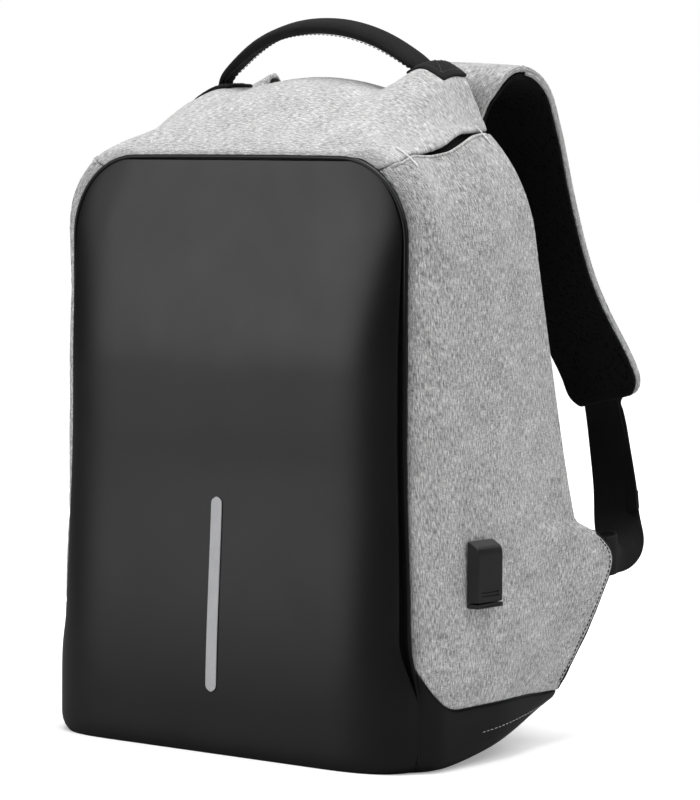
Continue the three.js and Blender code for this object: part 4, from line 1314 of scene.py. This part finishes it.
def shifted(piece, name, x):
    """A copy of a piece, moved across the bag."""
    copy = piece.copy()
    copy.data = piece.data.copy()
    copy.name = name
    copy.data.transform(Matrix.Translation((x * METRE, 0, 0)))
    bpy.context.scene.collection.objects.link(copy)
    return copy


PAD_CENTRE = 56
BAND_UP = 110  # the luggage band's height up the back plane
BAND_OUT = 20  # how far it stands out over the pads


def pads():
    """Two shoulder pads, two middle pads and one lumbar pad."""
    for kind, low, high, thick in (("shoulder", 146, 234, 12.6), ("middle", 64, 140, 6.8)):
        first = foam_pad(kind + "_cushion", low, high, 49, thick, 18)
        for side, x in (("right", PAD_CENTRE), ("left", -PAD_CENTRE)):
            piece = shifted(first, f"{kind}_cushion_{side}", x)
            finish_piece(piece, "back_door", "spacer_mesh", f"{kind}_pad_{side}")
        bpy.data.objects.remove(first)
    piece = foam_pad("lumbar_cushion", -14, 58, 105, 14.6, 20)
    finish_piece(piece, "back_door", "spacer_mesh", "lumbar_pad")


def x_box(name, at, half_x, half_y, normal, material, body):
    """A sewn box with a cross in it. at(x, y) gives the point for a place in the box."""
    corners = [(-1, -1), (1, -1), (1, 1), (-1, 1), (-1, -1), (1, 1), (1, -1), (-1, 1)]
    route = []
    for (ax, ay), (bx, by) in zip(corners, corners[1:]):
        for i in range(12):
            route.append(at(mix(ax, bx, i / 12) * half_x, mix(ay, by, i / 12) * half_y))
    return thread(name, route, normal, material, body, pitch=2.9, length=2.1, radius=0.3)


def luggage_band():
    """Band across the back panel, sewn down at both ends, for a trolley's handle."""
    half = box_mm("luggage_band")[1].x
    up = BAND_UP
    face = BAND_OUT
    ends = ((half - 1, 2.4), (half - 0.9, face - 7), (half - 3, face - 1.8), (half - 9, face),
            (half - 40, face + 0.3))
    right = [on_back(x, up, out) for x, out in ends]
    left = [on_back(-x, up, out) for x, out in reversed(ends)]
    path = Path(right + [on_back(0, up, face + 0.4)] + left, 16)
    piece = ribbon("luggage_strap", path, [WEBBING], half=lambda k: 18 - 0.6 * math.sin(math.pi * k),
                   top=constant(0.6), bottom=constant(-0.6), axis=constant(UP_BACK), steps=90, square=0.85)
    finish_piece(piece, "back_door", "webbing", "luggage_band")
    for sign in (-1, 1):
        for edge in (-15.5, 15.5):
            route = [on_back(sign * mix(30, half - 10, i / 30), up + edge, face + 1.1) for i in range(31)]
            name = f"luggage_stitches_{'lr'[sign > 0]}{'ab'[edge > 0]}"
            thread(name, route, OUT_BACK, THREAD_BLACK, "back_door")


LINING_R = 8  # corner radius of the flat lining panels


def lining_panel(name, half, low, high, place, thick, material, body, slot, *nodes):
    """A flat lining panel with rounded corners."""
    def at(u, v):
        up = mix(low, high, v)
        end = min(v, 1 - v) * (high - low)
        inset = LINING_R - math.sqrt(max(0, LINING_R**2 - (LINING_R - min(end, LINING_R)) ** 2))
        return place((2 * u - 1) * (half - inset), up)

    grid = grid_of(50, 60, at)
    piece = shell(name, grid, thick, [material])
    return finish_piece(piece, body, slot, *nodes), grid


SLEEVE_DEPTH = (-28, -5.2)  # the sleeve's walls, out of the back plane


def laptop_sleeve():
    """Quilted sleeve on the inside of the back panel, with a floor and two sides."""
    def place(x, up):
        quilt = 0.5 * math.sin(x / 9 + up / 9) * math.sin(x / 9 - up / 9)
        return on_back(x, up, -30.2 - quilt)

    piece = lining_panel("sleeve_front", 107, 0.6, 227, place, 3.0, LINING, "back_door", "lining",
                         "laptop_sleeve")[0]
    rim = [on_back(mix(-100, 100, i / 60), 227.5, -28.8) for i in range(61)]
    edging("sleeve_binding", rim, 2.2, "back_door")
    floor = grid_of(40, 8, lambda u, v: on_back((2 * u - 1) * 106, 0.6, mix(*SLEEVE_DEPTH, v)))
    finish_piece(shell("sleeve_floor", floor, 2.0, [LINING]), "back_door", "lining")
    for side, x in (("right", 106.5), ("left", -106.5)):
        wall = grid_of(30, 8, lambda u, v: on_back(x, mix(3, 150, u), mix(*SLEEVE_DEPTH, v)))
        piece = finish_piece(shell("sleeve_side_" + side, wall, 0.8, [LINING]), "back_door", "lining")
        declare_sheet(piece, wall, "stretched", "back_sheet")


def organiser():
    """Sheet of pockets behind the front board, with a mesh pocket on it."""
    low, high = box_mm("organiser_sheet")
    piece, grid = lining_panel(
        "organiser_panel", high.x, low.z, high.z, lambda x, z: [x, high.y - 0.1, z],
        1.0, LINING, "bag_body", "lining", "organiser_sheet")
    declare_sheet(piece, grid, "hung", "front_board")
    top = [(mix(-96, 96, i / 50), high.y - 0.6, high.z) for i in range(51)]
    edging("organiser_binding", top, 1.3)


def mesh_pocket():
    """A net pocket that bellies out from the organiser."""
    low, high = box_mm("mesh_pocket")

    def belly(x):
        return 3 * math.sin(math.pi * (x / 184 + 0.5))

    piece, grid = lining_panel(
        "mesh_pocket_panel", high.x, low.z, high.z, lambda x, z: [x, high.y - 0.1 + belly(x), z],
        0.7, SPACER, "bag_body", "spacer_mesh", "mesh_pocket")
    declare_sheet(piece, grid, "stretched", "organiser_panel")
    top = [(x, high.y - 0.5 + belly(x), high.z) for x in np.linspace(-86, 86, 41)]
    edging("mesh_pocket_binding", top, 1.2)


def power_bank_pouch():
    """An open pouch of lining cloth, its walls a folded-over tube."""
    low, high = box_mm("power_bank_pouch")
    centre = (low + high) / 2
    half_x, half_y = (high.x - low.x) / 2, (high.y - low.y) / 2
    profile = [(0.6, low.z)]
    profile += [(0, mix(low.z + 1, high.z - 1, i / 16)) for i in range(17)]
    profile += [(0.3, high.z), (0.9, high.z)]
    profile += [(1.3, mix(high.z - 1, low.z + 1.6, i / 16)) for i in range(17)]
    rings = []
    for inset, z in profile:
        belly = 0 if z > high.z - 1 else 0.35 * math.sin(z / 5)
        ring = outline(half_x - inset, -half_y + inset, half_y - inset, 5 - inset, 6)
        rings.append([(centre.x + x + math.copysign(belly, x) * 0.5, centre.y + y, z) for x, y in ring])
    piece = tube("battery_pouch", rings, [LINING])
    finish_piece(piece, "bag_body", "lining", "power_bank_pouch")


# ---------- shoulder straps ----------
STRAP_WIDTH = 66
STRAP_TOP = 5.0
STRAP_UNDER = -4.2
WEBBING_HALF = 16
WEBBING_THICK = 1.6
STRAP_RIGHT = (
    (84, 53.5, 376.5), (84, 51.5, 392), (84, 52.5, 403), (84, 54.5, 414), (85, 60, 424),
    (86.5, 72, 430.5), (88, 86, 429.5), (89, 101, 419), (90, 112.5, 393), (93, 125, 350),
    (100, 142, 298), (109, 157, 262), (118.5, 166, 236), (123.5, 171, 216),
)
STRAP_LEFT = (
    (86, 53.8, 376.5), (88, 52, 390), (92, 54, 398), (98, 56.5, 404), (106, 62, 410),
    (115, 72, 413.5), (120, 86, 412), (122, 100, 409), (122, 111, 382), (120, 124, 344),
    (117, 142, 298), (116, 156, 262), (116, 165, 236), (116, 170, 216),
)
STRAP_DROOP = {"right": 0.05, "left": 0.22}  # the strap's tilt over the shoulder, in radians
ROOT_LENGTH = 22
NECK_LENGTH = 70  # length along the strap from its root; the binding and its stitches start a little past it
BINDING_RADIUS = 1.25
LOCK_LEAN = 0.32
LOOP_SECTION = (  # out of and up the ladder lock, from the strap's end round its top bar and back
    (-8.8, 31), (-7.4, 22), (-4.4, 14), (-1.6, 7.2), (1.8, 6.4), (3.9, 9.5), (2.4, 14), (-4.6, 23),
    (-6.6, 34),
)
LOOP_HALF = 14
LOOP_THICK = 1.4
WRAP_SECTION = ((3.2, -12), (3.3, -6), (3.1, 0), (1.7, 4.2), (-1.7, 4.2), (-3.1, 0), (-3.3, -7))
TAIL_FROM = 0.55  # the webbing's free end hangs down to this share of its run to the wing
WEBBING_END = (149.4, 132, 117)  # where it is sewn to the wing


def flip(mesh_piece):
    """Mirrors a finished piece to the left side."""
    mesh_piece.data.transform(Matrix.Scale(-1, 4, (1, 0, 0)))
    mesh_piece.data.flip_normals()
    return mesh_piece


class Strap:
    """One shoulder strap with its webbing, made on the right and mirrored for the left."""

    def __init__(self, side, points):
        self.side = side
        self.body = "strap_" + side
        self.droop = STRAP_DROOP[side]
        self.path = Path(points)
        low, high = box_mm("ladder_lock_right")
        self.lock = np.array((low + high) / 2)

    def axis(self, k):
        """Direction of the strap's width."""
        angle = mix(0, self.droop, smooth(0.02, 0.12, k)) * (1 - smooth(0.25, 0.5, k))
        return np.array([math.cos(angle), 0, -math.sin(angle)])

    def half(self, k):
        """Half width: narrow at the root, full over the shoulder, rounded off at the lower end."""
        end = math.sqrt(max(0.02, 1 - ((k - 0.955) / 0.047) ** 2)) if k > 0.955 else 1
        root = mix(0.62, 1, smooth(0.03, 0.17, k))
        return STRAP_WIDTH / 2 * root * mix(1, 0.88, smooth(0.4, 0.85, k)) * mix(0.6, 1, end)

    def out(self, piece):
        """The piece on its own side of the bag."""
        return flip(piece) if self.side == "left" else piece

    def cover(self):
        """Grey padded cover and black mesh underside."""
        start = self.path.at(ROOT_LENGTH / self.path.length)
        end = self.path.at(NECK_LENGTH / self.path.length)
        sign = -1 if self.side == "left" else 1
        neck = [Vector((p[0] * sign, p[1], p[2])) * METRE for p in (start, end)]
        nodes = ("strap_pad_" + self.side, "strap_root_" + self.side)
        lining = ("strap_lining_" + self.side,)
        layers = (
            ("strap_cover_", GREY_SIDE, 1.0, STRAP_TOP, -0.5, "grey_fabric", nodes),
            ("strap_underside_", SPACER, 0.985, 0.2, STRAP_UNDER, "spacer_mesh", lining),
        )
        for name, material, wide, top, bottom, slot, replaced in layers:
            piece = self.out(ribbon(
                name + self.side, self.path, [material], half=lambda k: self.half(k) * wide,
                top=lambda k: mix(2.4, top, smooth(0, 0.1, k)) if top > 0 else top,
                bottom=lambda k: mix(-2.6, bottom, smooth(0, 0.1, k)) if top < 0 else bottom,
                axis=self.axis, steps=120, sides=36, square=1.0))
            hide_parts(*replaced)
            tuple(neck[0])
            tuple(neck[1])
            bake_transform(piece)

    def binding(self):
        """Grey edge tape round the strap, and the stitches that hold it."""
        start = (NECK_LENGTH + 4) / self.path.length
        right = [(k, 1) for k in np.linspace(start, 0.992, 90)]
        turn = [(0.996, c) for c in np.linspace(0.9, -0.9, 11)]
        left = [(k, -1) for k in np.linspace(0.992, start, 90)]
        route = []
        for k, side in right + turn + left:
            route.append(band_point(self.path, k, side * (self.half(k) + 0.1), -0.6, self.axis(k)))
        route = Path(route[::2], 3).points
        piece = self.out(cord_tube("strap_binding_" + self.side, route, BINDING_RADIUS, [GREY_SIDE], 8))
        finish_piece(piece, self.body, "grey_fabric")
        for n, edge in enumerate((-1, 1)):
            points, normals = [], []
            for k in np.linspace(start, 0.97, 120):
                across = edge * (self.half(k) - 4.2)
                surface = band_point(self.path, k, across, STRAP_TOP * 0.9, self.axis(k))
                points.append(surface)
                normals.append(unit(surface - band_point(self.path, k, across, 0, self.axis(k))))
            name = f"strap_stitches_{self.side}_{n}"
            self.out(thread(name, points, normals, THREAD_GREY, self.body, radius=0.3))

    def in_lock(self, x, y, z):
        """A point given across, out of and up the ladder lock."""
        c, s = math.cos(LOCK_LEAN), math.sin(LOCK_LEAN)
        return self.lock + np.array([x, y * c - z * s, y * s + z * c])

    def loop(self):
        """Tie loop that holds the ladder lock to the strap's end."""
        route = [self.in_lock(0, out, up) for out, up in LOOP_SECTION]
        piece = self.out(ribbon(
            "lock_loop_" + self.side, Path(route), [WEBBING], half=constant(LOOP_HALF),
            top=constant(LOOP_THICK / 2), bottom=constant(-LOOP_THICK / 2),
            axis=constant(np.array([1.0, 0, 0])), steps=60, square=0.85))
        finish_piece(piece, self.body, "webbing", "lock_tie_" + self.side)

    def webbing(self):
        """One webbing strip: its free end, round the lock's middle bar, and down to the wing."""
        x, y, z = self.lock
        load = Path([
            (x, y - 2, z - 13), (mix(x, 121, 0.5), mix(y - 2, 183, 0.6), 190), (121.5, 183, 158),
            (125, 180.5, 138), (132.5, 173, 125.5), (141.5, 160, 119.5), (148, 145, 117.5), WEBBING_END,
        ])

        def width(k):
            """Direction of the webbing's width. It makes a quarter turn on its way to the wing."""
            turn = math.pi / 2 * smooth(0.64, 0.9, k)
            twist = mix(-0.2, 0.2, smooth(0, 0.6, k))
            flat = math.cos(turn)
            return np.array([flat * math.cos(twist), flat * math.sin(twist), -math.sin(turn)])

        def gathered(k):
            """Half width, drawn in where it is sewn to the wing."""
            return WEBBING_HALF * mix(1, 0.8, smooth(0.7, 0.9, k))

        def on_load(k):
            """Share of the run to the wing, for a share of the whole strip."""
            return 0.03 + 0.97 * clamp01((k * route.length - down) / (route.length - down))

        drop = [load.at(k) for k in np.linspace(0.03, 1, 34)]
        tail = []
        for k in np.linspace(TAIL_FROM, 0.05, 14):
            tail.append(load.at(k) + (1.6 * smooth(0, 0.3, k / TAIL_FROM), 2.6, 0))
        wrap = [self.in_lock(0, *p) for p in WRAP_SECTION]
        route = Path(tail + wrap + drop, 10)
        down = route.length - load.length * 0.97
        piece = self.out(ribbon(
            "webbing_" + self.side, route, [WEBBING], half=lambda k: gathered(on_load(k)),
            top=constant(WEBBING_THICK / 2), bottom=constant(-WEBBING_THICK / 2),
            axis=lambda k: width(on_load(k)), steps=260, sides=20, square=0.9, ends=0.002))
        finish_piece(piece, self.body, "webbing", "load_webbing_" + self.side, "webbing_tail_" + self.side)
        hem = []
        for up in (0.5, 5, 10, 14):
            hem.append(load.at(TAIL_FROM - up / load.length) + (1.6, 2.6 + WEBBING_THICK, 0))
        fold = ribbon(
            "webbing_hem_" + self.side, Path(hem), [WEBBING], half=constant(WEBBING_HALF - 0.2),
            top=constant(WEBBING_THICK / 2), bottom=constant(-WEBBING_THICK / 2),
            axis=constant(width(0)), steps=8, sides=20, square=0.9, ends=0.05)
        finish_piece(self.out(fold), self.body, "webbing")

    def build(self):
        self.cover()
        self.binding()
        self.loop()
        self.webbing()


# ---------- carry handle ----------
HANDLE_SPAN = 88
HANDLE_LEAN = 0.28
HANDLE_Y = 29
HANDLE_Z = 428.4
HANDLE_RISE = 34
HANDLE_ENDS = ((-89, 30, 418), (88.5, 30, 423))  # tucked under the patches
HANDLE_DEEPER = 1.35  # its lower face bulges more than its upper one


def carry_handle():
    """Padded band that arches from patch to patch."""
    points = []
    for k in (-1, -0.86, -0.55, -0.2, 0.2, 0.55, 0.86, 1):
        up = HANDLE_RISE * (1 - abs(k) ** 2.2)
        y = HANDLE_Y - up * math.sin(HANDLE_LEAN)
        points.append((k * (HANDLE_SPAN - 2), y, HANDLE_Z - 2.4 + up * math.cos(HANDLE_LEAN)))
    path = Path([HANDLE_ENDS[0], *points, HANDLE_ENDS[1]])
    axis = np.array([0, math.cos(HANDLE_LEAN), math.sin(HANDLE_LEAN)])

    def half(k):
        return mix(6.2, 9.6, smooth(0, 0.12, min(k, 1 - k)))

    def thick(k):
        return mix(1.8, 3.6, math.sin(math.pi * k) ** 0.7)

    piece = ribbon("handle_band", path, [BLACK_CLOTH], half=half, top=thick,
                   bottom=lambda k: -thick(k) * HANDLE_DEEPER, axis=constant(axis),
                   steps=140, sides=36, square=0.5)
    finish_piece(piece, "carry_handle", "webbing", "handle")
    for n, edge in enumerate((-1, 1)):
        route, normals = [], []
        for k in np.linspace(0.02, 0.98, 120):
            at = band_point(path, k, edge * (half(k) - 2.2), thick(k) * 0.86, axis)
            route.append(at)
            normals.append(unit(at - band_point(path, k, edge * (half(k) - 2.2), 0, axis)))
        thread(f"handle_stitches_{n}", route, normals, THREAD_BLACK, "carry_handle", radius=0.28)


def handle_feet():
    """Sewn patches under the handle's ends, lying on the top."""
    low, high = box_mm("handle_foot_right")
    for side, sign in (("right", 1), ("left", -1)):
        def place(u, v, sign=sign):
            x = sign * (mix(low.x, high.x, u) + 2)
            y = mix(low.y, high.y, v) + 3
            t = (y - SEAM_Y) / (back_y(420) - SEAM_Y)
            return [x, y, top_height(t, x) + 2.4]

        grid = grid_of(24, 18, place)
        piece = shell("handle_patch_" + side, grid, 2.4, [BLACK_CLOTH])
        finish_piece(piece, "bag_body", "webbing", "handle_foot_" + side)

        def at(x, y, grid=grid):
            return on_grid(grid, 0.5 + x, 0.5 + y)

        x_box("patch_stitches_" + side, at, 0.38, 0.38, np.array([0, -0.1, 1.0]), THREAD_BLACK, "bag_body")


# ---------- carried-over CAD pieces ----------
def round_edges(node, material, slot, width, segments):
    """A hard CAD node keeps its shape and gets rounded edges and its real finish."""
    piece = frame["nodes"][node]
    piece.data.materials.clear()
    piece.data.materials.append(material)
    bevel = piece.modifiers.new("rounded edges", "BEVEL")
    bevel.width = width * METRE
    bevel.segments = segments
    bevel.limit_method = "ANGLE"
    bevel.angle_limit = math.radians(32)
    bevel.harden_normals = False


HARD_PARTS = (  # material, slot, bevel segments, then each node with its edge radius in millimetres
    (PLASTIC, "hard_plastic", 3, (
        ("usb_housing", 0.5), ("usb_flap", 0.35), ("usb_flange", 0.3), ("usb_grommet", 0.2),
        ("ladder_lock_right", 0.7), ("ladder_lock_left", 0.7),
        ("puller_upper", 0.35), ("puller_lower", 0.35))),
    (DARK_METAL, "dark_metal", 3, (("slider_upper", 0.3), ("slider_lower", 0.3))),
    (STEEL, "steel", 2, (("usb_socket_shell", 0.08), ("usb_contacts", 0.08))),
    (WHITE_PLASTIC, "white_plastic", 3, (("usb_tongue", 0.15),)),
    (BOARD, "board", 3, (("front_board", 0.4), ("base_board", 0.4), ("back_sheet", 0.4))),
)


def hard_parts():
    for material, slot, segments, nodes in HARD_PARTS:
        for node, width in nodes:
            round_edges(node, material, slot, width, segments)


# ---------- floor, light and camera ----------
CAMERA_AZIMUTH = math.radians(38.5)
CAMERA_ELEVATION = math.radians(4.0)
CAMERA_DISTANCE = 2.3
CAMERA_ROLL = math.radians(0.3)
CAMERA_LENS = 162.5
AIM = Vector((0.042, 0, 0.221))


LIGHTS = (  # name, direction from the bag, distance, size, power
    ("key_left", (-0.6, -0.8, 0.3), 2.4, (0.95, 1.8), 18),
    ("side_right", (0.85, 0.0, 0.95), 2.4, (1.3, 1.3), 19),
    ("overhead", (0.0, 0.0, 1.0), 2.4, (1.6, 1.6), 54),
    ("rear", (-0.2, 1.0, 0.6), 2.6, (1.6, 1.6), 16),
)
FLOOR_SIZE = 40
FLOOR_IN_GLOSS = 0.76  # share of the floor's tone taken away in reflections
WORLD_LIGHT = 0.42
WORLD_IN_GLOSS = 0.03


def light(name, direction, distance, size, power):
    """A soft area light that looks at the bag from a direction."""
    data = bpy.data.lights.new(name, "AREA")
    data.shape = "RECTANGLE"
    data.size, data.size_y = size
    data.energy = power
    lamp = bpy.data.objects.new(name, data)
    bpy.context.scene.collection.objects.link(lamp)
    lamp.location = AIM + Vector(direction).normalized() * distance
    lamp.rotation_euler = (AIM - lamp.location).to_track_quat("-Z", "Y").to_euler()


def floor():
    """Plain pale floor, dimmer in reflections, with a painted glow that only the camera sees, weaker near the
    bag, so that it fades into the white behind it.
    """
    bpy.ops.mesh.primitive_plane_add(size=FLOOR_SIZE)
    plane = bpy.context.object
    plane.name = "studio_floor"
    paint = Nodes("studio_floor", Roughness=0.9, Specular_IOR_Level=0.0)
    cloud = paint.noise(paint.place(), 0.6, 2, 0.5)
    rays = paint.add("ShaderNodeLightPath", {})
    dimmed = paint.math("SUBTRACT", 1.0, paint.math("MULTIPLY", rays["Is Glossy Ray"], FLOOR_IN_GLOSS))
    plain = paint.ramp(cloud, (0.3, grey(0.84)), (0.7, grey(0.86)))
    paint.colour(paint.add("ShaderNodeVectorMath", {0: plain, 1: dimmed}, operation="MULTIPLY")["Vector"])
    away = paint.add("ShaderNodeVectorMath", {0: paint.place()}, operation="LENGTH")["Value"]
    # Painted glow: for camera rays the floor emits 0.3 near the bag, rising to 0.7 further out.
    reach = {"Value": away, "From Min": 0.6, "From Max": 2.4, "To Min": 0.3, "To Max": 0.7}
    glow = paint.add("ShaderNodeMapRange", reach, interpolation_type="SMOOTHSTEP")["Result"]
    seen = paint.math("MULTIPLY", rays["Is Camera Ray"], glow)
    paint.tree.links.new(seen, paint.shader.inputs["Emission Strength"])
    paint.shader.inputs["Emission Color"].default_value = (1, 1, 1, 1)
    plane.data.materials.append(paint.material)


def world():
    """White behind the bag, a soft light round it, and little of either in reflections."""
    surround = bpy.data.worlds.new("studio")
    bpy.context.scene.world = surround
    surround.use_nodes = True
    nodes = surround.node_tree.nodes
    link = surround.node_tree.links.new
    plain = nodes["Background"]
    white = nodes.new("ShaderNodeBackground")
    for background in (plain, white):
        background.inputs["Color"].default_value = (1, 1, 1, 1)
    rays = nodes.new("ShaderNodeLightPath")
    strength = nodes.new("ShaderNodeMix")
    strength.data_type = "FLOAT"
    strength.inputs[2].default_value = WORLD_LIGHT
    strength.inputs[3].default_value = WORLD_IN_GLOSS
    link(rays.outputs["Is Glossy Ray"], strength.inputs[0])
    link(strength.outputs[0], plain.inputs["Strength"])
    choose = nodes.new("ShaderNodeMixShader")
    link(rays.outputs["Is Camera Ray"], choose.inputs[0])
    link(plain.outputs[0], choose.inputs[1])
    link(white.outputs[0], choose.inputs[2])
    link(choose.outputs[0], nodes["World Output"].inputs["Surface"])


def camera():
    """The camera, a little above the bag's middle and to its right."""
    data = bpy.data.cameras.new("camera")
    data.lens = CAMERA_LENS
    data.clip_end = 100
    eye = bpy.data.objects.new("camera", data)
    bpy.context.scene.collection.objects.link(eye)
    away = Vector((
        math.sin(CAMERA_AZIMUTH) * math.cos(CAMERA_ELEVATION),
        -math.cos(CAMERA_AZIMUTH) * math.cos(CAMERA_ELEVATION),
        math.sin(CAMERA_ELEVATION),
    ))
    eye.location = AIM + away * CAMERA_DISTANCE
    turn = (-away).to_track_quat("-Z", "Y").to_matrix() @ Matrix.Rotation(CAMERA_ROLL, 3, "Z")
    eye.rotation_euler = turn.to_euler()
    bpy.context.scene.camera = eye


def studio():
    bpy.context.scene.view_settings.view_transform = "Standard"
    floor()
    world()
    for settings in LIGHTS:
        light(*settings)
    camera()


# ---------- the whole bag ----------
studio()
front_cover()
boots()
base()
seam_piping()
corner_backing()
strip()
side_panels()
top_panel()
pocket_mouth()
boot_seam_backing()
lower_back()
zips()
back_panel()
door_fold()
zip_end_corners()
pads()
luggage_band()
laptop_sleeve()
organiser()
mesh_pocket()
power_bank_pouch()
Strap("right", STRAP_RIGHT).build()
Strap("left", STRAP_LEFT).build()
carry_handle()
handle_feet()
hard_parts()
